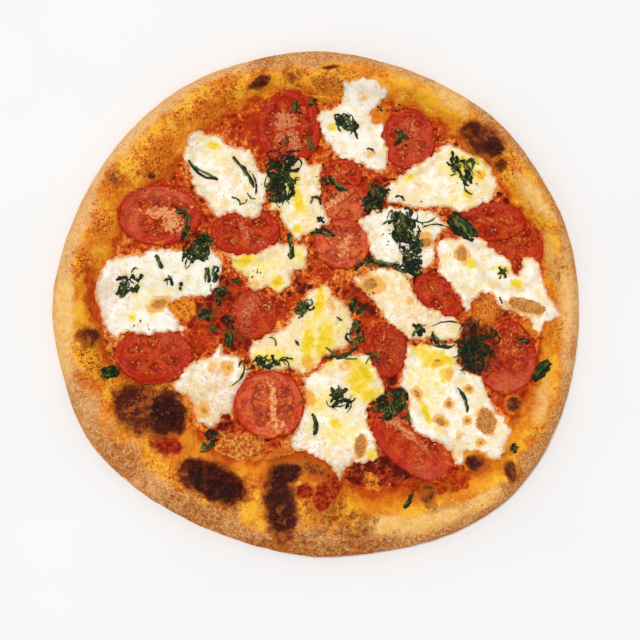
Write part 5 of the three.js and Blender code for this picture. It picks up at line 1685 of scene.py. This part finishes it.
def basil_finish():
    finish = Finish("wilted basil")
    cloud, fine = finish.noise(2.5, 51, 3), finish.noise(0.8, 52, 2)
    fresh, rim = finish.masks("tone", "rim")
    tone = finish.mix(BLACK_GREEN, GREEN, (fresh * 0.8 + cloud * 0.6 - rim * 0.3).step(0.35, 1.0))
    tone = tone.coat(LIGHT_GREEN, (fresh * 0.7 + cloud * 0.7 - rim * 0.4).step(0.55, 0.95) * 0.75)
    tone = tone.coat(BURNT_GREEN, (cloud * 0.6 + fine * 0.4).step(0.55, 0.7) * 0.6)
    return finish.surface(base_color=tone, roughness=0.3 + fine * 0.3, normal=finish.bump(fine, 0.3),
                          specular_ior_level=0.15)


wilted_basil = basil_finish()

# %% [markdown]
# A tangle is many shreds and threads, drawn at random inside an oval and lifted most in its middle.
# They may pass through each other, which doesn't show. Single shreds and leaves are given one by one.

# %% Where the basil lies
# Tangles: x, y, half length, half width, turn, number of shreds and of threads.
TANGLES = [
    (-20, 77, 17, 9.5, 78, 54, 34), (54, 44, 17, 8, -68, 56, 30), (97, -26, 16, 11, 70, 36, 14),
    (-70, 34, 11, 7, 50, 26, 12), (-113, 12, 11, 5, 45, 10, 4), (46, -60, 11, 7, 40, 34, 10),
    (15, -57, 9, 6.5, -30, 11, 9), (18, 108, 10, 4, -12, 16, 6), (88, 79, 11, 5, -50, 15, 5),
    (57, 24, 7, 6, 0, 22, 8), (36, 64, 9, 6.5, 60, 26, 12), (-31, -35, 13, 3, 8, 7, 12),
    (-8, -3, 6.5, 4.5, 40, 12, 4), (-123, -41, 4.6, 2.6, 0, 20, 1), (-63, -82, 6, 3, 60, 9, 3),
    (24, -19, 9, 2.6, 82, 10, 3)
]
SCORCHED = {0: 0.8, 2: 0.55}  # how much green is left of the tangles that got the most heat
# Single shreds: start, end, bow and width.
STRIPS = [
    (-16, 42, -15, 27, 1, 3.4), (-3, 42.5, 11, 41, 2, 3), (-76, 86, -59, 75, -3, 2),
    (-50, 88, -37, 70, 2, 1.8), (32, 28, 46, 24, -2, 2.4), (8, 77, 19, 68, -2, 2.4),
    (-2, -66, -1, -79, 2, 1.8), (85, -50, 91, -65, 2, 1.8), (70, -17, 82, -26, -4, 1.8),
    (-96, 29, -93, 21, 1, 2.6), (58, -112, 53, -122, 1, 2.4)
]
# Pieces of leaf: x, y, half length, half width, turn.
LEAVES = [(135, -40, 8, 2.6, 50), (88, 46, 11, 4, -42)]
# Threads and shreds that lie alone: start, end, bow and width.
LOOSE = [
    (-61, 9, -55, 5, 1, 3.0), (-70, -7, -64, -10, 1, 2.8), (-54, -7, -49, -11, 0, 2.6),
    (-54, -18, -51, -25, 0, 3.0), (-64, -13, -60, -16, 0, 2.2), (-50, 15, -45, 13, 0, 2.0),
    (-60, 3, -57, -1, 0, 2.0), (-38, 78, -36, 66, 1.5, 1.1), (-50, 64, -45, 59, 1.5, 1.0),
    (-41, 67, -36, 63, -1, 1.0), (-45, 60, -41, 63, -1, 0.9), (64, 46, 80, 46, 2, 0.9),
    (60, 50, 72, 52, -2, 0.8), (40, 47, 46, 50, 1, 0.9), (62, 35, 58, 28, 1, 0.9),
    (48, 64, 53, 62, 2, 1.1), (70, -13, 88, -12, 2, 0.9), (70, -18, 75, -26, -3, 0.8),
    (75, -26, 85, -22, -2, 0.8), (23, 103, 25, 99, 0.5, 1.2), (31, 93, 35, 91, 1, 1.0),
    (82, 92, 82, 87, 0.5, 1.4), (85, 88, 84, 80, 0.5, 2.0), (-36, -32, -34, -38, 2, 0.9),
    (-20, -33, -16, -40, 2, 0.9), (-28, -20, -24, -25, 2, 0.9), (-43, -33, -50, -49, 3, 1.0),
    (-46, -38, -43, -34, 1, 0.8), (6, -33, 25, -26, -2, 2.2), (30, -30, 38, -36, 2, 1.6),
    (24, 20, 34, 26, 2, 2.2), (34, 26, 50, 24, -2, 1.6), (13, -8, 16, -10, 0, 1.4),
    (-12, -22, -10, -25, 0, 1.5), (-89, 17, -86, 11, 1, 1.8), (-80, 13, -82, 8, 0, 1.6),
    (-66, 22, -64, 13, 1, 2.2), (-60, 23, -61, 13, 1, 2.4), (-91, 14, -86, 15, 0.5, 1.2),
    (110, 4, 112, 0, 0.5, 1.0), (110, 22, 114, 15, 0.5, 1.8), (109, 18, 115, 20, 0.5, 1.2),
    (-3, 64, 3, 60, 2, 1.8), (1, 52, 5, 49, 0, 2.4), (30, 60, 32, 54, 0, 1.8),
    (-51, -17, -51, -26, 0, 2.8), (58, -12, 64, -19, 0, 3.2), (61, -12, 66, -17, 0, 2.0),
    (24, 4, 21, -4, 0, 2.8), (55, -65, 57, -73, 0.5, 1.4), (51, -69, 56, -68, 0.5, 1.2),
    (30, 0, 24, -6, 0.5, 2.0), (118, -83, 119, -89, 0, 2.4), (116, -87, 121, -85, 0, 1.8),
    (-84, 58, -77, 55, -1, 2.6), (-77, 55, -76, 44, -1, 2.8), (-76, 46, -80, 38, -1, 2.2),
    (48, 104, 56, 99, 0, 1.8), (52, 104, 51, 97, 0, 1.8), (53, 100, 47, 95, 0, 1.4),
    (-4, 119, 0, 123, 0, 2.4), (37, 119, 40, 116, 0, 1.6), (-12, 122, -13, 115, 0, 2.6),
    (-5, 100, -2, 92, 0.5, 2.0), (-17, 101, -18, 95, 0.5, 1.6), (8, 71, 4, 76, 0, 2.0),
    (128, -23, 122, -21, 0, 2.4)
]

# %% A tangle
def bowed(start, end, bow, count=5):
    start, end = np.array(start, float), np.array(end, float)
    t = np.linspace(0, 1, count)[:, None]
    side = np.array([start[1] - end[1], end[0] - start[0]]) / max(np.hypot(*(end - start)), 1e-6)
    return start + (end - start) * t + side * bow * 4 * t * (1 - t)


def tangle(oval, draw):
    parts = []
    shreds, threads = oval[5:7]
    for i in range(shreds + threads):
        thread = i >= shreds
        angle, share = draw.uniform(0, 2 * np.pi), np.sqrt(draw.uniform(0, 1)) * (1.05 if thread else 0.85)
        centre = np.array(oval_place(oval, share, angle))
        length = draw.uniform(4, 8.5) if thread else draw.uniform(3.5, 8)
        width = draw.uniform(0.5, 0.9) if thread else draw.uniform(1.0, 2.7)
        heading = np.radians(oval[4]) + draw.normal(0, 0.8)
        reach = np.array([np.cos(heading), np.sin(heading)]) * length / 2
        line = bowed(centre - reach, centre + reach, draw.normal(0, 0.3) * length, 4)
        lift = draw.uniform(0.0, 0.4) + 1.0 * draw.uniform(0, 1) * (1 - min(share, 1))
        tone = draw.uniform(0, 0.35) if thread else draw.uniform(0, 1)
        parts.append(shred(line, width, lift, tone, draw))
    return joined(parts)


# %% Laying the tangles and the single shreds
basil_draw = np.random.default_rng(31)


def make_basil(name, parts, node=None):
    points, faces, masks = parts
    make_piece(name, points, faces, wilted_basil, [node] if node else (), masks)


for index, oval in enumerate(TANGLES):
    points, faces, masks = tangle(oval, basil_draw)
    masks["tone"] = masks["tone"] * SCORCHED.get(index, 1)
    make_basil(f"basil_tangle_{index + 1:02d}", (points, faces, masks), f"basil_tuft_{index + 1:02d}")
for index, (ax, ay, bx, by, bow, width) in enumerate(STRIPS):
    whole = shred(bowed((ax, ay), (bx, by), bow), width, 0.1, 0.35, basil_draw)
    inner_line = bowed((ax + 0.6, ay - 0.4), (bx - 0.5, by + 0.7), bow * 0.4)
    light = shred(inner_line, width * 0.6, 0.4, 1.1, basil_draw)
    make_basil(f"basil_shred_{index + 1:02d}", joined([whole, light]), f"basil_strip_{index + 1:02d}")

# %% Laying the pieces of leaf and the loose threads
# A leaf has wilted into folds. Of each: how far aside it lies, its length, width and how green it is.
FOLDS = [(-0.45, 0.9, 1.1, 0.3), (0.45, 0.95, 1.1, 0.5), (0, 0.75, 0.9, 0.9), (-0.2, 0.5, 0.7, 0.1),
         (0.7, 0.5, 0.5, 0.8)]
CURLED_FROM = 1.5  # a loose shred wider than this is crossed by a curled part

for index, (cx, cy, along, across, turn) in enumerate(LEAVES):
    heading = np.radians(turn)
    reach = np.array([np.cos(heading), np.sin(heading)]) * along
    aside = np.array([-reach[1], reach[0]]) / along * across
    parts = []
    for shift, share, width, tone in FOLDS:
        middle = np.array([cx, cy]) + aside * shift
        line = bowed(middle - reach * share, middle + reach * share, 2 * shift)
        parts.append(shred(line, width * across, 0.3 + 0.5 * share, tone, basil_draw))
    make_basil(f"basil_blade_{index + 1:02d}", joined(parts), f"basil_leaf_{index + 1:02d}")
parts = []
for ax, ay, bx, by, bow, width in LOOSE:
    parts.append(shred(bowed((ax, ay), (bx, by), bow), width, 0.1, basil_draw.uniform(0, 0.7), basil_draw))
    if width > CURLED_FROM:
        parts.append(shred(bowed((ax, by), (bx, ay), bow, 4), 0.5 * width, 0.3, 0.9, basil_draw))
make_basil("basil_threads", joined(parts))

# %% [markdown]
# ## What is scattered
# Seeds in the jelly, crumbs of burnt herb and grains of semolina are too many to place by hand. A
# particle system would scatter them but not export them, so small things are meshes too, each kind
# joined into one piece. A grain is a ball of few faces, flattened and turned at random.

# %% Grains
GRAIN_RING = 6
GRAIN_LEVELS = (-0.45, 0.55)


def grain_shape(flat):
    """Points and faces of one rounded lump: two rings between a lowest and a highest point."""
    ring = np.arange(GRAIN_RING) / GRAIN_RING * 2 * np.pi
    shape = [(0, 0, -1)]
    for level in GRAIN_LEVELS:
        shape += [(0.88 * np.cos(a + level), 0.88 * np.sin(a + level), level) for a in ring]
    shape.append((0, 0, 1))
    faces, low, high = [], 1, 1 + GRAIN_RING
    for i in range(GRAIN_RING):
        after = (i + 1) % GRAIN_RING
        faces += [(0, low + after, low + i), (low + i, low + after, high + after),
                  (low + i, high + after, high + i), (high + i, high + after, len(shape) - 1)]
    return np.array(shape) * (1, flat[0], flat[1]), np.array(faces)


def grains(places, sizes, flat, draw, turns=None):
    """Lumps at places (x, y, z), each with its half length, as one joined set of faces."""
    count = len(places)
    turns = draw.uniform(0, 2 * np.pi, count) if turns is None else turns
    shape, faces = grain_shape(flat)
    cos, sin = np.cos(turns)[:, None], np.sin(turns)[:, None]
    local = shape[None] * np.asarray(sizes)[:, None, None] * draw.uniform(0.75, 1.25, (count, len(shape), 1))
    x = places[:, 0:1] + local[:, :, 0] * cos - local[:, :, 1] * sin
    y = places[:, 1:2] + local[:, :, 0] * sin + local[:, :, 1] * cos
    z = places[:, 2:3] + local[:, :, 2]
    steps = np.arange(count)[:, None, None] * len(shape)
    return np.stack([x, y, z], axis=2).reshape(-1, 3), (faces[None] + steps).reshape(-1, 3).tolist()


def grain_finish(name, dark, light, size, gloss, kind):
    finish = Finish(name)
    lightness = finish.noise(size, kind) * 0.5 + finish.lots(size, kind) * 0.6
    tone = finish.mix(dark, light, lightness.step(0.35, 0.75))
    return finish.surface(base_color=tone, roughness=gloss, specular_ior_level=0.3)


# %% Seeds
SEED_REACH = 1.0  # half its length

seed_places = np.array(seed_places)
points, faces = grains(seed_places[:, :3] + (0, 0, 0.05), np.full(len(seed_places), SEED_REACH),
                       (0.62, 0.35), seed_draw, seed_places[:, 3])
seed_finish = grain_finish("tomato seed", (0.6, 0.16, 0.02), (0.85, 0.42, 0.1), 3, 0.25, 61)
make_piece("tomato_seeds", points, faces, seed_finish)

# %% Burnt crumbs of herb
# Heaps of them: x, y, reach and how many. The last one is wide: it is what fell everywhere.
CRUMB_SPOTS = [
    (-97, 77, 4, 14), (-105, -17, 7, 16), (-57, 8, 7, 26), (-66, -5, 7, 26), (-12, 118, 5, 16),
    (-2, 121, 4, 12), (50, 118, 4, 10), (52, 100, 6, 14), (40, -27, 6, 12), (-48, -16, 9, 24),
    (-35, 18, 6, 10), (-5, 98, 6, 20), (-18, 98, 5, 12), (-80, 48, 9, 24), (99, -32, 15, 60),
    (125, -22, 6, 16), (-30, 80, 10, 24), (50, 46, 16, 30), (35, -100, 12, 24), (-15, -83, 8, 16),
    (27, 5, 8, 18), (12, 75, 12, 26), (20, 58, 12, 18), (-40, 45, 14, 20), (70, 58, 8, 10),
    (92, 78, 9, 16), (-70, 34, 10, 14), (60, 20, 10, 10), (-20, -38, 12, 10), (0, 0, 130, 320)
]
WIDE = 100
crumb_draw = np.random.default_rng(41)
crumb_places, crumb_sizes = [], []
for cx, cy, reach, count in CRUMB_SPOTS:
    angle, share = crumb_draw.uniform(0, 2 * np.pi, count), np.sqrt(crumb_draw.uniform(0, 1, count))
    for a, r, size in zip(angle, share, crumb_draw.uniform(0, 1, count)):
        x, y = cx + reach * r * np.cos(a), cy + reach * r * np.sin(a)
        on_cheese = reach > WIDE and read_map(cheese_map, x, y) > 0.5
        if rim_share(x, y) > 1 and not on_cheese:
            crumb_places.append((x, y, read_map(top, x, y) + 0.1))
            crumb_sizes.append(0.3 + 0.75 * size**2 * (1 if reach < WIDE else 0.7))
points, faces = grains(np.array(crumb_places), crumb_sizes, (0.6, 0.45), crumb_draw)
crumb_finish = grain_finish("burnt herb", (0.014, 0.01, 0.005), (0.07, 0.055, 0.012), 4, 0.6, 62)
make_piece("herb_crumbs", points, faces, crumb_finish)

# %% Semolina on the outside of the rim
SEMOLINA = 4400
semolina_draw = np.random.default_rng(51)
angle = semolina_draw.uniform(0, 2 * np.pi, SEMOLINA)
outer, inner_edge = around(RIM_RADIUS, angle), around(SAUCE_RADIUS, angle)
share = semolina_draw.beta(1.2, 2.6, SEMOLINA) * 0.62 + 0.015
radius = outer - share * (outer - inner_edge)
x, y = radius * np.cos(angle), radius * np.sin(angle)
clean = spots(x, y, CHAR, soft=1) + 0.6 * spots(x, y, TOASTED, soft=1) < 0.4
x, y = x[clean], y[clean]
points, faces = grains(np.c_[x, y, dough_height(x, y) + 0.04], semolina_draw.uniform(0.22, 0.5, len(x)),
                       (0.7, 0.6), semolina_draw)
semolina_finish = grain_finish("semolina", (0.78, 0.4, 0.13), (0.92, 0.61, 0.29), 3, 0.6, 63)
make_piece("semolina_grains", points, faces, semolina_finish)
